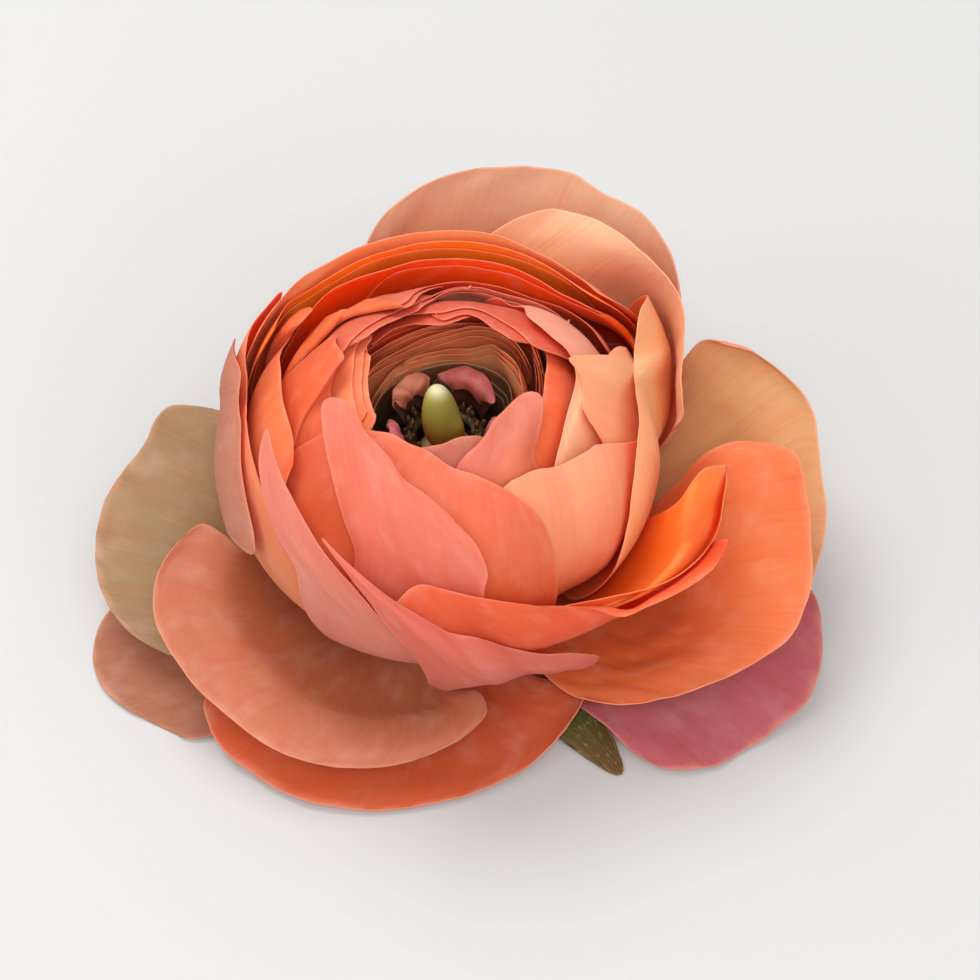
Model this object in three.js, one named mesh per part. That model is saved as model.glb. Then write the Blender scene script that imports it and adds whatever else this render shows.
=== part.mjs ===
// Ranunculus flower head: a picked bloom lying face up on its drooping guard petals.
// Units are millimetres, +Z is up, the resting plane is z = 0 and the origin is the
// centre of the footprint. Every petal is a thin closed shell of its own.
import * as THREE from 'three';

// ---- driving dimensions ----
const CLAW_RADIUS = 5.6;       // radius at which every petal leaves the receptacle
const CLAW_CHART = 0.7;        // width scale of the azimuth in a petal's flat chart
// heights are measured from the centre of the petal ball, 28 mm above the resting plane
const STEM_RADIUS = 2.2;       // cut stem stub
const STEM_TOP_Z = -24.9;
const STEM_END_Z = -28.0;
const RECEPTACLE = [[0, -24.5], [3.0, -24.3], [4.6, -23.4], [5.15, -22.2], [5.15, -6.0], [4.7, -2.0], [3.9, 0.4], [2.6, 1.6], [0, 2.0]];
const CARPEL_AXIS = [-0.3, 0.0];   // the seed cone stands a little off the axis
const CARPEL_LEAN = -0.075;        // and leans to the left, by this much for each millimetre of height
const CARPEL = [[0, 2.5], [1.5, 2.6], [2.5, 3.6], [2.85, 5.2], [2.75, 7.2], [2.35, 9.3], [1.7, 11.4], [0.85, 13.0], [0, 13.6]];
const CROWN = { count: 18, rIn: 3.75, rOut: 5.55, zLow: 2.5, zHigh: 5.6, wave: 0.7 };
const PETALOID_THICKNESS = 0.4;

// ---- petals, inside to outside ----
// left, top and right are the sides of the outline as [azimuth, angle up from straight down]
// in degrees, both sides starting at the claw; reach is the distance of the sheet from the
// chart centre (0, 0, zc), rows across the petal and columns from claw to margin
const PETALS = [
  { name: 'throat_petal_back_inner', slot: 'throat_tan', mid: 100, zc: 0, base: -4.5, claw: 1.5, thick: 0.36,
    left: [[25.0,95.0]], top: [[21.28,130.17],[44.48,120.98],[57.89,125.94],[75.53,129.69],[95.76,130.62],[117.04,127.87],[134.38,122.51],[163.83,131.55]],
    right: [[-170.0,95.0]],
    reach: [[7.18,8.69,8.76,8.91,11.4],[7.18,9.31,10.13,10.49,12.06],[7.18,9.36,9.93,10.08,11.79],[7.18,9.47,10.09,10.12,11.27],[7.18,9.71,10.59,10.6,11.07],[7.18,9.94,10.47,10.44,11.83]] },
  { name: 'throat_petal_front_inner', slot: 'throat_tan', mid: -80, zc: 0, base: -5.5, claw: 1.5, thick: 0.36,
    left: [[-160.0,90.0]], top: [[-150.0,122.0],[-125.0,128.0],[-100.0,130.0],[-75.0,130.0],[-45.0,128.0],[-20.0,124.0],[0.0,120.0]],
    right: [[0.0,90.0]],
    reach: [[7.85,9.48,10.17,10.42,11.54],[7.85,9.18,9.5,9.72,11.86],[7.85,8.84,8.83,8.87,11.4],[7.85,8.54,8.44,8.36,10.65],[7.85,8.31,8.41,8.44,9.88]] },
  { name: 'throat_petal_back_mid', slot: 'throat_tan', mid: 70, zc: 0, base: -6.5, claw: 1.5, thick: 0.36,
    left: [[-10.0,95.0]], top: [[11.31,136.88],[31.0,134.54],[48.18,138.13],[75.1,121.56],[95.19,130.85],[113.86,128.79],[126.63,125.56]],
    right: [[150.0,95.0]],
    reach: [[8.58,9.51,9.14,10.2,13.55],[8.58,9.72,9.37,11.33,14.78],[8.58,10.05,10.83,12.63,14.6],[8.58,10.66,11.47,11.61,13.09],[8.58,10.51,10.98,11.1,12.58],[8.58,10.92,11.59,11.69,12.71]] },
  { name: 'throat_petal_front_mid', slot: 'throat_tan', mid: -130, zc: 0, base: -7.5, claw: 1.5, thick: 0.36,
    left: [[155.0,90.0]], top: [[160.0,122.0],[-175.0,128.0],[-150.0,132.0],[-120.0,134.0],[-95.0,134.0],[-70.0,130.0]],
    right: [[-60.0,90.0]],
    reach: [[9.36,11.05,11.57,11.58,12.84],[9.36,10.87,11.57,11.97,13.32],[9.36,10.64,11.03,11.44,13.73],[9.36,10.41,10.36,10.59,14.17],[9.36,10.17,9.93,10.11,13.76],[9.36,9.95,9.63,9.74,12.66]] },
  { name: 'throat_petal_back_outer', slot: 'throat_tan', mid: 125, zc: 0, base: -8.5, claw: 1.5, thick: 0.36,
    left: [[45.0,95.0]], top: [[26.86,137.21],[46.64,134.72],[68.76,137.88],[94.69,131.09],[116.34,128.52],[140.29,135.64],[165.48,139.52],[-174.58,139.9]],
    right: [[-160.0,95.0]],
    reach: [[10.18,11.92,12.6,13.44,16.16],[10.18,11.8,12.65,14.28,16.86],[10.18,11.82,11.71,12.55,14.98],[10.18,11.82,12.46,12.69,14.06],[10.18,12.2,13.01,13.72,15.05],[10.18,12.49,13.18,13.59,16.54]] },
  { name: 'throat_petal_back_rim', slot: 'throat_tan', mid: 90, zc: 0, base: -9.5, claw: 1.5, thick: 0.36,
    left: [[10.0,95.0]], top: [[14.56,134.33],[29.61,135.92],[55.5,127.37],[73.11,130.03],[94.24,131.36],[115.64,128.93],[131.28,124.49],[154.47,135.72]],
    right: [[175.0,95.0]],
    reach: [[11.03,11.68,10.27,10.8,16.88],[11.03,12.15,13.0,14.33,18.23],[11.03,12.64,14.19,15.63,16.97],[11.03,12.64,13.33,14.01,15.91],[11.03,12.88,12.91,13.32,15.5],[11.03,13.21,13.58,14.18,15.34],[11.03,13.03,13.82,14.92,16.13]] },
  { name: 'throat_petal_left_rim', slot: 'throat_tan', mid: 120, zc: 0, base: -10.3, claw: 1.5, thick: 0.36,
    left: [[60.0,95.0]], top: [[73.82,142.03],[94.14,135.45],[108.33,130.39],[119.61,128.24],[130.11,126.39],[146.73,134.87],[163.1,138.96]],
    right: [[-175.0,95.0]],
    reach: [[11.72,13.27,14.8,16.75,17.41,18.49],[11.72,13.42,14.15,14.85,15.64,17.39],[11.72,13.89,14.28,14.51,14.94,16.77],[11.72,14.02,14.58,15.06,15.36,16.71],[11.72,13.68,14.82,15.34,15.59,17.03],[11.72,13.45,14.49,15.71,16.66,17.3]] },
  { name: 'under_petal_right', slot: 'petal_coral', mid: -20, zc: 0, base: -10.5, claw: 1.5, thick: 0.36,
    left: [[-80.0,70.0]], top: [[-85.0,108.0],[-55.0,116.0],[-20.0,118.0],[15.0,116.0],[45.0,108.0]],
    right: [[40.0,70.0]],
    reach: [[11.9,13.38,13.9,13.95,14.35],[11.9,13.49,13.95,13.93,14.82],[11.9,13.52,13.96,13.94,15.02],[11.9,13.53,13.97,13.92,14.97],[11.9,13.49,13.93,13.98,15.4],[11.9,13.37,13.81,14.31,16.64]] },
  { name: 'under_petal_left', slot: 'petal_coral', mid: 175, zc: 0, base: -11.5, claw: 1.5, thick: 0.36,
    left: [[115.0,70.0]], top: [[110.0,108.0],[140.0,116.0],[175.0,118.0],[-150.0,116.0],[-120.0,108.0]],
    right: [[-125.0,70.0]],
    reach: [[12.79,14.73,15.44,15.27,15.61],[12.79,14.33,15.64,16.18,16.62],[12.79,14.24,15.71,16.14,16.9],[12.79,14.23,15.1,17.63,18.22],[12.79,14.31,14.51,16.02,16.63],[12.79,14.33,14.56,14.41,15.25],[12.79,14.24,14.62,14.49,14.82]] },
  { name: 'dome_petal_front_inner', slot: 'petal_coral', mid: -95, zc: 0, base: -12, claw: 1.5, thick: 0.36,
    left: [[-140.0,85.0]], top: [[-148.4,139.0],[-138.11,140.69],[-127.78,141.88],[-111.21,142.18],[-94.63,144.72],[-81.77,147.3],[-71.51,147.04],[-58.55,143.99]],
    right: [[-55.0,85.0]],
    reach: [[13.24,14.83,16.35,17.3,17.36,17.36,17.44],[13.24,14.93,16.48,17.38,17.37,17.36,17.44],[13.24,15.01,16.61,17.52,17.48,17.44,17.48],[13.24,15.16,16.85,17.77,17.7,17.62,17.61],[13.24,15.32,17.14,18.09,17.99,17.85,17.76],[13.24,15.39,17.27,18.38,18.35,18.15,17.95]] },
  { name: 'dome_petal_right_inner', slot: 'petal_coral', mid: 10, zc: 0, base: -12.3, claw: 1.5, thick: 0.36,
    left: [[-50.0,85.0]], top: [[-55.0,128.0],[-30.0,137.0],[0.0,139.0],[25.0,134.0],[48.0,128.0]],
    right: [[62.0,85.0]],
    reach: [[13.51,15.2,16.77,18.04,18.83,19.21,19.29,18.87],[13.51,15.38,17.11,18.51,19.22,19.14,18.8,18.34],[13.51,15.54,17.4,18.89,19.57,19.38,18.9,18.32],[13.51,15.64,17.59,19.15,19.85,19.67,19.14,18.49],[13.51,15.7,17.69,19.31,20.06,19.9,19.36,18.67],[13.51,15.7,17.68,19.32,20.17,20.08,19.58,18.9],[13.51,15.67,17.61,19.25,20.18,20.17,19.74,19.12],[13.51,15.63,17.51,19.11,20.08,20.16,19.83,19.29]] },
  { name: 'dome_petal_front_strip', slot: 'petal_coral', mid: -50, zc: 0, base: -12.8, claw: 1.5, thick: 0.36,
    left: [[-95.0,80.0],[-90.0,115.0]], top: [[-84.0,138.0],[-64.14,144.87],[-54.46,148.35],[-44.78,149.53],[-21.95,148.64],[-9.24,142.94]],
    right: [[-42.0,75.0],[-42.0,103.0],[-44.52,127.67],[-36.99,132.85],[-22.7,137.9]],
    reach: [[13.97,15.77,17.09,18.37,18.96,18.78,18.5,18.1],[13.97,16.15,17.85,19.26,19.62,19.47,19.15,19.05],[13.97,16.15,18.11,19.4,19.44,19.58,19.37,18.6],[13.97,16.16,18.14,19.83,20.28,20.45,19.65,17.77],[13.97,16.41,18.59,20.23,20.01,19.64,19.39,19.72]] },
  { name: 'dome_petal_back_inner', slot: 'petal_coral', mid: 95, zc: 0, base: -13.2, claw: 1.5, thick: 0.36,
    left: [[20.0,85.0]], top: [[18.17,143.33],[31.85,146.65],[50.78,146.12],[67.03,144.22],[80.6,144.98],[94.4,145.32],[107.05,141.82],[117.98,137.48],[126.51,135.18],[136.8,134.28],[148.03,135.05]],
    right: [[165.0,85.0]],
    reach: [[14.34,16.46,18.57,20.36,21.37,21.35,20.68,19.79],[14.34,16.54,18.87,20.78,21.71,21.56,20.75,19.77],[14.34,16.43,18.65,20.64,21.71,21.42,20.43,19.36],[14.34,16.27,18.31,20.24,21.4,21.03,19.95,19.27],[14.34,16.2,18.18,19.9,20.8,20.46,19.58,19.27],[14.34,16.2,18.17,19.83,20.63,20.27,19.33,18.51],[14.34,16.1,17.99,19.59,20.43,20.19,19.38,18.4],[14.34,15.96,17.72,19.23,20.15,20.1,19.48,18.59],[14.34,15.86,17.51,18.94,19.85,19.87,19.36,18.58],[14.34,15.82,17.43,18.8,19.63,19.6,19.09,18.37]] },
  { name: 'dome_petal_left_inner', slot: 'petal_coral', mid: 182, zc: 0, base: -13.4, claw: 1.5, thick: 0.36,
    left: [[135.0,85.0]], top: [[141.53,142.1],[150.03,139.69],[161.94,139.81],[174.39,138.98],[-169.53,139.49],[-154.77,139.42],[-141.72,138.77]],
    right: [[-138.0,82.0],[-146.0,108.0]],
    reach: [[14.52,16.22,18.72,20.52,21.01,20.75,20.09,19.34],[14.52,16.0,18.38,20.58,21.24,20.75,20.26,18.89],[14.52,15.8,17.33,19.66,20.98,20.43,19.42,17.77],[14.52,15.76,17.21,18.46,19.0,18.87,18.54,17.58],[14.52,15.77,17.31,18.53,18.98,18.73,18.32,17.98],[14.52,15.8,17.43,18.78,19.32,19.04,18.69,18.55]] },
  { name: 'under_petal_front', slot: 'petal_coral', mid: -110, zc: 0, base: -13.6, claw: 1.5, thick: 0.36,
    left: [[-165.0,70.0]], top: [[-170.0,102.0],[-140.0,112.0],[-110.0,115.0],[-80.0,112.0],[-55.0,102.0]],
    right: [[-60.0,70.0]],
    reach: [[14.71,15.96,18.36,19.06,19.68,19.77],[14.71,15.9,18.11,20.35,20.87,20.64],[14.71,16.07,17.3,19.5,20.54,18.98],[14.71,16.2,17.37,18.44,18.86,17.9],[14.71,16.2,17.91,19.91,20.85,19.83],[14.71,16.29,18.28,20.21,20.87,20.97],[14.71,16.31,18.37,19.99,20.92,20.99]] },
  { name: 'dome_petal_right_pale', slot: 'petal_coral', mid: 40, zc: 0, base: -14, claw: 1.5, thick: 0.36,
    left: [[-5.0,80.0],[-2.0,110.0]], top: [[4.29,126.27],[12.21,128.57],[18.71,132.3],[25.61,138.0],[43.3,139.48],[63.17,117.8],[67.52,121.8]],
    right: [[80.0,80.0],[78.0,105.0]],
    reach: [[15.08,17.02,19.01,20.78,21.95,22.16,21.48,20.24],[15.08,17.38,19.72,21.79,23.09,23.22,22.46,21.34],[15.08,17.63,20.24,22.44,23.62,23.43,22.42,21.36],[15.08,17.63,20.23,22.41,23.54,23.27,22.2,21.2],[15.08,17.41,19.73,21.66,22.88,22.87,22.0,21.05],[15.08,17.17,19.12,20.74,21.98,22.26,21.64,20.89],[15.08,17.26,19.02,20.6,21.75,22.01,21.58,21.21]] },
  { name: 'dome_petal_back_mid', slot: 'petal_coral', mid: 110, zc: 0, base: -14.4, claw: 1.5, thick: 0.36,
    left: [[35.0,80.0]], top: [[48.1,106.08],[56.19,108.86],[63.94,109.19],[71.15,109.96],[77.58,114.2],[93.19,124.76],[106.17,139.24],[117.65,139.74],[133.0,142.35],[146.34,142.54],[157.01,140.21],[165.15,138.33]],
    right: [[175.0,80.0]],
    reach: [[15.45,17.1,19.41,21.1,22.67,24.53,24.91,23.77],[15.45,16.99,19.16,21.09,22.59,24.09,24.24,23.33],[15.45,16.84,18.4,20.47,22.8,23.45,23.47,22.71],[15.45,16.84,18.31,19.92,22.38,23.08,22.73,21.54],[15.45,16.96,18.59,20.09,21.39,21.79,21.13,20.07],[15.45,17.14,18.98,20.64,21.69,21.74,20.85,19.77],[15.45,17.02,18.81,20.91,21.89,21.82,20.67,19.49],[15.45,17.04,19.14,21.59,22.29,22.15,21.03,20.01],[15.45,17.03,19.36,21.29,22.3,21.76,20.98,20.33],[15.45,16.96,19.01,20.39,21.81,21.42,20.71,20.13]] },
  { name: 'dome_petal_back_outer', slot: 'petal_coral', mid: 97, zc: 0, base: -15.36, claw: 1.5, thick: 0.36,
    left: [[15.0,80.0],[22.0,98.0]], top: [[28.39,114.85],[36.23,110.95],[44.07,109.22],[50.24,108.44],[61.61,106.26],[71.88,109.29],[78.63,111.86],[85.37,116.9],[97.16,122.28],[110.96,141.51],[121.61,143.32],[128.65,125.34],[139.29,123.55],[139.62,102.04],[147.99,102.29]],
    right: [[178.0,80.0],[172.0,105.0]],
    reach: [[16.35,17.96,19.76,21.57,23.14,24.17,24.34,24.33],[16.35,18.09,20.38,22.44,24.04,26.06,26.08,24.69],[16.35,18.2,20.46,22.18,23.61,25.09,25.05,24.34],[16.35,17.99,20.0,21.91,23.94,24.55,24.31,23.79],[16.35,17.91,19.71,21.74,23.82,23.91,23.15,22.59],[16.35,18.01,19.86,21.64,22.93,22.78,21.98,21.4],[16.35,18.41,20.64,22.46,23.28,22.69,21.33,20.83],[16.35,18.7,21.19,23.04,23.59,22.6,20.96,20.59],[16.35,18.37,20.57,22.39,23.22,22.97,21.65,21.11],[16.35,18.0,19.94,22.17,23.14,22.94,22.01,22.02],[16.35,17.9,19.84,22.29,23.54,23.07,22.01,22.54],[16.35,17.72,19.65,21.54,22.92,23.02,22.64,23.36],[16.35,17.67,19.48,20.99,22.43,23.03,22.59,23.23]] },
  { name: 'dome_petal_right_bright', slot: 'petal_coral', mid: 0, zc: 0, base: -15.2, claw: 1.5, thick: 0.36,
    left: [[-55.0,80.0]], top: [[-50.0,112.0],[-38.17,123.24],[-20.08,128.78],[-6.36,129.64],[2.07,129.53],[10.75,130.58],[19.04,129.92]],
    right: [[40.0,78.0],[30.0,94.0],[7.38,125.32],[14.06,128.34]],
    reach: [[16.2,17.47,18.75,19.96,21.02,21.79,22.14,21.97,21.29],[16.2,17.67,19.11,20.45,21.51,22.06,22.14,21.56,20.73],[16.2,17.82,19.41,20.85,21.87,22.15,21.97,21.1,20.28],[16.2,17.92,19.63,21.3,22.8,22.64,21.9,20.79,20.03],[16.2,18.01,19.8,21.77,24.9,24.58,22.58,21.11,20.24],[16.2,18.14,20.06,23.12,26.81,25.81,23.58,22.02,21.22],[16.2,18.29,20.82,24.32,27.62,26.87,24.76,22.57,22.3]] },
  { name: 'dome_petal_right_outer', slot: 'petal_coral', mid: 15, zc: 0, base: -16.01, claw: 1.5, thick: 0.36,
    left: [[-35.0,75.0]], top: [[-28.0,100.0],[-14.66,113.71],[-4.15,116.25],[3.51,119.06],[10.6,123.81],[18.05,126.14]],
    right: [[48.0,74.0],[40.0,90.0],[31.07,99.56]],
    reach: [[16.96,18.33,19.76,21.16,22.38,23.34,23.85,23.71],[16.96,18.49,20.07,21.57,22.73,23.77,24.13,23.41],[16.96,18.63,20.34,21.95,23.26,24.22,24.2,22.93],[16.96,18.73,20.44,22.42,25.25,25.43,24.3,22.68],[16.96,19.16,20.89,23.53,27.11,26.54,24.62,23.04],[16.96,19.37,22.0,25.62,28.92,27.46,25.27,23.4],[16.96,18.99,21.65,25.99,29.29,28.01,25.72,23.4]] },
  { name: 'dome_petal_left_rim', slot: 'petal_coral', mid: -163, zc: 0, base: -14.8, claw: 1.5, thick: 0.36,
    left: [[165.0,74.0],[168.0,92.0],[172.94,106.39],[164.01,112.34],[158.69,121.72],[153.39,128.21]], top: [[149.92,132.26],[170.21,142.58],[172.53,136.62],[178.41,131.26],[-169.7,130.21],[-156.51,128.72]],
    right: [[-108.0,76.0],[-116.0,96.0],[-137.69,122.45]],
    reach: [[15.82,17.29,19.74,23.9,24.93,24.1,22.19,21.29],[15.82,17.78,20.04,22.96,24.14,22.45,21.31,21.45],[15.82,17.78,20.17,21.73,22.12,22.27,20.65,19.9],[15.82,17.3,19.25,20.66,21.39,22.18,20.24,18.56],[15.82,17.1,18.86,20.63,21.58,20.99,19.97,19.22]] },
  { name: 'dome_petal_front_right', slot: 'petal_coral', mid: -45, zc: 0, base: -15.6, claw: 1.5, thick: 0.36,
    left: [[-88.0,75.0]], top: [[-88.0,116.0],[-65.09,126.44],[-56.96,127.9],[-49.45,127.4],[-39.97,123.87],[-28.28,121.81],[-22.33,119.55],[-1.0,98.99]],
    right: [[-18.0,60.0],[-14.0,83.0],[-8.0,93.0]],
    reach: [[16.57,17.91,19.41,20.94,22.22,22.89,22.46,20.98],[16.57,18.22,20.02,21.78,23.11,23.51,22.53,20.83],[16.57,18.52,20.6,22.59,23.98,24.16,22.88,21.17],[16.57,18.51,20.52,22.51,24.01,24.4,23.36,21.77],[16.57,18.72,20.94,23.28,24.96,25.73,25.19,24.02],[16.57,18.54,20.82,23.16,24.1,25.15,25.34,24.85],[16.57,18.51,21.03,23.04,23.41,24.83,25.69,25.76]] },
  { name: 'dome_petal_front_broad', slot: 'petal_coral', mid: -100, zc: 0, base: -16, claw: 1.5, thick: 0.36,
    left: [[-165.0,75.0],[-160.0,112.0]], top: [[-151.59,140.0],[-140.85,139.69],[-127.32,143.47],[-112.68,142.98],[-99.06,141.65],[-85.58,136.07],[-74.42,132.57],[-65.8,127.09],[-60.17,120.57],[-56.95,115.4]],
    right: [[-60.0,62.0],[-57.49,92.1],[-56.44,105.21]],
    reach: [[16.95,18.21,19.93,22.05,24.13,24.94,23.34,20.94,19.48],[16.95,18.22,19.95,22.03,24.01,24.72,23.1,20.76,19.22],[16.95,18.25,20.02,22.1,23.95,24.31,22.33,19.86,18.15],[16.95,18.29,20.07,22.16,23.99,24.38,22.41,19.8,18.2],[16.95,18.3,20.07,22.15,23.98,24.48,22.68,20.05,18.25],[16.95,18.31,20.05,22.1,24.03,24.88,23.67,21.38,19.27],[16.95,18.42,20.25,22.4,24.48,25.67,25.02,23.06,20.96],[16.95,18.4,20.17,22.19,24.28,25.77,25.82,24.23,22.28],[16.95,18.32,19.94,21.65,23.55,25.17,25.81,25.04,23.51]] },
  { name: 'dome_petal_front_left', slot: 'petal_coral', mid: -118, zc: 0, base: -16.99, claw: 1.5, thick: 0.36,
    left: [[-128.0,58.0],[-119.0,85.0],[-117.31,103.55],[-124.91,112.74],[-138.7,123.21],[-153.04,129.72]], top: [[-169.2,133.79],[-164.42,137.98],[-158.88,141.08],[-149.56,141.54],[-139.7,139.67],[-129.9,138.54],[-118.77,136.02],[-108.8,130.97],[-98.37,127.78],[-90.47,123.56],[-83.94,118.58]],
    right: [[-86.0,58.0],[-80.0,83.0],[-79.28,99.16],[-77.55,105.4],[-79.55,112.62]],
    reach: [[17.89,19.17,20.89,23.0,25.01,25.61,24.08,22.61,22.01,21.52],[17.89,19.17,21.02,23.22,25.14,25.68,24.0,22.26,21.26,20.44],[17.89,19.0,20.72,22.83,24.72,25.85,24.75,22.79,21.25,19.91],[17.89,18.9,20.43,22.39,24.45,26.05,26.01,24.51,22.74,20.89],[17.89,18.83,20.1,21.87,23.75,25.39,26.45,26.47,25.14,23.05]] },
  { name: 'cup_petal_back_inner', slot: 'petal_coral', mid: 88, zc: 0, base: -16.8, claw: 1.5, thick: 0.36,
    left: [[18.0,60.0],[20.0,85.0]], top: [[35.61,98.67],[39.52,106.3],[45.22,113.29],[60.17,113.41],[73.78,112.74],[84.72,112.87],[92.73,112.88],[101.72,112.73],[110.79,112.48],[121.36,111.08],[128.35,110.08]],
    right: [[155.0,60.0],[150.0,88.0]],
    reach: [[17.71,18.85,20.53,22.7,24.25,27.13,28.56,29.24],[17.71,18.84,20.59,23.51,26.17,28.72,29.14,28.08],[17.71,18.91,20.65,24.12,28.14,30.49,28.73,26.33],[17.71,19.01,21.13,23.6,28.66,31.57,26.83,25.53],[17.71,19.04,21.12,22.68,25.3,26.86,25.59,25.89],[17.71,19.01,20.64,22.38,24.38,25.37,25.54,26.38],[17.71,19.02,20.57,22.4,24.44,25.48,25.73,26.52],[17.71,19.02,20.59,22.43,24.43,25.56,25.8,26.44],[17.71,19.02,20.6,22.44,24.46,25.61,25.86,26.4],[17.71,18.99,20.53,22.34,24.34,25.47,25.71,26.14],[17.71,19.0,20.55,22.37,24.41,25.63,25.96,26.37],[17.71,19.03,20.59,22.42,24.52,25.86,26.31,26.69]] },
  { name: 'cup_petal_left_inner', slot: 'petal_coral', mid: 178, zc: 0, base: -17, claw: 1.5, thick: 0.36,
    left: [[135.0,60.0],[138.0,90.0]], top: [[137.08,115.73],[147.37,119.0],[148.13,108.51],[157.99,112.68],[169.81,117.76],[-171.39,121.05],[-161.13,121.38],[-153.38,119.58]],
    right: [[-135.0,58.0],[-138.0,90.0],[-148.69,112.08],[-149.94,116.79]],
    reach: [[17.9,19.41,22.0,23.88,25.43,26.8,27.84,25.1],[17.9,19.54,22.39,24.55,26.3,27.37,26.97,24.96],[17.9,19.17,20.86,23.44,26.18,26.56,26.36,25.1],[17.9,19.25,20.91,23.2,25.65,26.35,26.1,24.71],[17.9,19.32,21.09,23.21,25.28,26.22,25.54,23.78],[17.9,19.36,21.22,23.41,25.45,26.26,25.34,23.43],[17.9,19.4,21.31,23.59,25.65,26.34,25.26,23.31],[17.9,19.36,21.22,23.48,25.57,26.33,25.38,23.52]] },
  { name: 'cup_petal_back_mid', slot: 'petal_coral', mid: 100, zc: 0, base: -17.51, claw: 1.5, thick: 0.36,
    left: [[35.0,60.0],[35.0,88.0]], top: [[39.0,114.62],[48.25,113.48],[59.59,112.73],[75.21,112.23],[83.81,112.25],[92.51,112.26],[106.22,111.99],[114.39,111.82],[124.79,107.91],[135.25,105.79],[154.79,115.19]],
    right: [[168.0,60.0],[165.0,88.0]],
    reach: [[18.38,19.61,21.5,24.79,29.08,32.49,30.44,27.57],[18.38,19.68,21.5,24.42,30.01,33.16,29.85,27.53],[18.38,19.78,21.59,23.9,27.98,29.05,28.41,28.26],[18.38,19.83,21.54,23.55,25.99,27.6,28.3,28.78],[18.38,19.87,21.61,23.62,25.92,27.77,28.59,29.04],[18.38,19.87,21.63,23.67,26.07,27.97,28.68,29.02],[18.38,19.84,21.55,23.56,25.97,27.85,28.5,28.75],[18.38,19.78,21.42,23.48,25.83,27.62,28.27,28.55],[18.38,19.75,21.28,23.81,25.99,27.36,28.24,28.72],[18.38,19.94,21.86,24.13,26.34,27.79,28.64,28.95],[18.38,19.77,22.53,24.58,26.86,28.17,28.36,27.83],[18.38,19.9,22.73,24.57,26.29,27.3,27.24,26.92]] },
  { name: 'cup_petal_back_outer', slot: 'petal_coral', mid: 105, zc: 0, base: -18.8, claw: 1.5, thick: 0.36,
    left: [[33.0,60.0],[35.0,88.0]], top: [[38.67,114.43],[43.55,112.3],[50.16,113.8],[63.85,112.61],[75.8,112.98],[84.09,112.78],[92.4,111.99],[105.19,110.97],[115.83,110.17],[128.17,109.8],[139.97,109.72],[152.93,112.69]],
    right: [[172.0,60.0],[165.0,88.0]],
    reach: [[19.62,20.67,21.99,24.18,27.71,31.86,33.72,31.32,28.42],[19.62,20.74,21.99,23.86,28.14,33.51,35.06,30.86,28.51],[19.62,20.8,22.12,23.84,27.25,31.29,32.17,29.9,28.91],[19.62,20.85,22.24,23.88,26.17,28.58,29.35,29.39,29.53],[19.62,20.93,22.45,24.16,26.07,28.01,29.16,29.8,30.26],[19.62,20.96,22.5,24.25,26.19,28.18,29.42,30.03,30.48],[19.62,20.96,22.49,24.23,26.21,28.26,29.53,30.12,30.53],[19.62,20.96,22.48,24.21,26.2,28.29,29.59,30.2,30.61],[19.62,20.93,22.41,24.13,26.1,28.14,29.43,30.05,30.47],[19.62,20.85,22.37,24.21,26.2,28.08,29.2,29.76,30.17],[19.62,20.79,22.66,24.61,26.66,28.46,29.33,29.67,30.0],[19.62,20.82,22.99,24.82,26.78,28.62,29.29,29.21,29.25],[19.62,21.04,23.32,24.97,26.59,27.96,28.46,28.6,28.66]] },
  { name: 'cup_petal_left_mid', slot: 'petal_coral', mid: 180, zc: 0, base: -17.8, claw: 1.5, thick: 0.36,
    left: [[135.0,60.0],[138.0,88.0]], top: [[137.04,109.61],[144.7,109.18],[155.4,109.46],[165.0,108.38],[177.92,110.68],[-171.73,111.89],[-161.9,111.54],[-153.82,110.48]],
    right: [[-110.0,55.0],[-118.0,80.0],[-133.0,102.0]],
    reach: [[18.66,21.04,25.3,26.22,27.48,29.24,30.22,30.5,30.42],[18.66,20.04,24.52,27.4,28.12,29.62,30.43,30.22,30.08],[18.66,19.74,23.11,27.2,28.74,29.73,30.13,30.07,29.9],[18.66,19.67,21.27,25.04,28.68,29.5,29.05,29.08,28.82],[18.66,19.74,21.0,22.85,25.41,27.56,27.9,27.7,27.27],[18.66,19.8,21.16,22.77,24.94,26.98,27.86,27.52,26.84],[18.66,19.82,21.25,22.97,25.2,27.21,28.01,27.57,26.83],[18.66,19.88,21.32,23.08,25.41,27.44,28.16,27.68,26.97],[18.66,19.92,21.32,23.07,25.47,27.56,28.3,27.82,27.17],[18.66,19.83,21.25,23.01,25.45,27.59,28.4,27.95,27.35]] },
  { name: 'cup_petal_right_side', slot: 'petal_coral', mid: 5, zc: 0, base: -17.9, claw: 1.5, thick: 0.36,
    left: [[-42.0,58.0],[-38.0,82.0]], top: [[-32.89,97.02],[-21.66,108.45],[-12.05,114.02],[1.7,115.31],[20.87,104.93],[27.61,106.46],[32.37,108.8]],
    right: [[52.0,58.0],[49.0,84.0],[41.0,98.0]],
    reach: [[18.76,19.77,21.07,22.59,24.37,26.01,26.85,26.75],[18.76,19.88,21.82,23.81,24.96,26.42,26.88,26.57],[18.76,20.03,21.95,24.16,25.51,26.87,26.98,26.6],[18.76,20.2,22.01,23.96,25.93,27.1,27.03,26.81],[18.76,20.1,21.67,24.15,27.43,27.57,26.43,26.18],[18.76,19.74,21.21,26.27,32.6,31.86,27.89,25.88],[18.76,19.48,21.68,28.28,33.89,36.45,33.39,26.71],[18.76,20.06,24.31,28.67,32.36,36.39,35.61,30.68]] },
  { name: 'cup_petal_right_inner', slot: 'petal_coral', mid: -28, zc: 0, base: -18.72, claw: 1.5, thick: 0.36,
    left: [[-78.0,55.0],[-76.0,80.0]], top: [[-78.0,91.08],[-62.0,90.41],[-48.0,89.06],[-28.86,88.4],[-21.03,89.57],[-17.72,95.47],[-13.8,97.54]],
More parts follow.
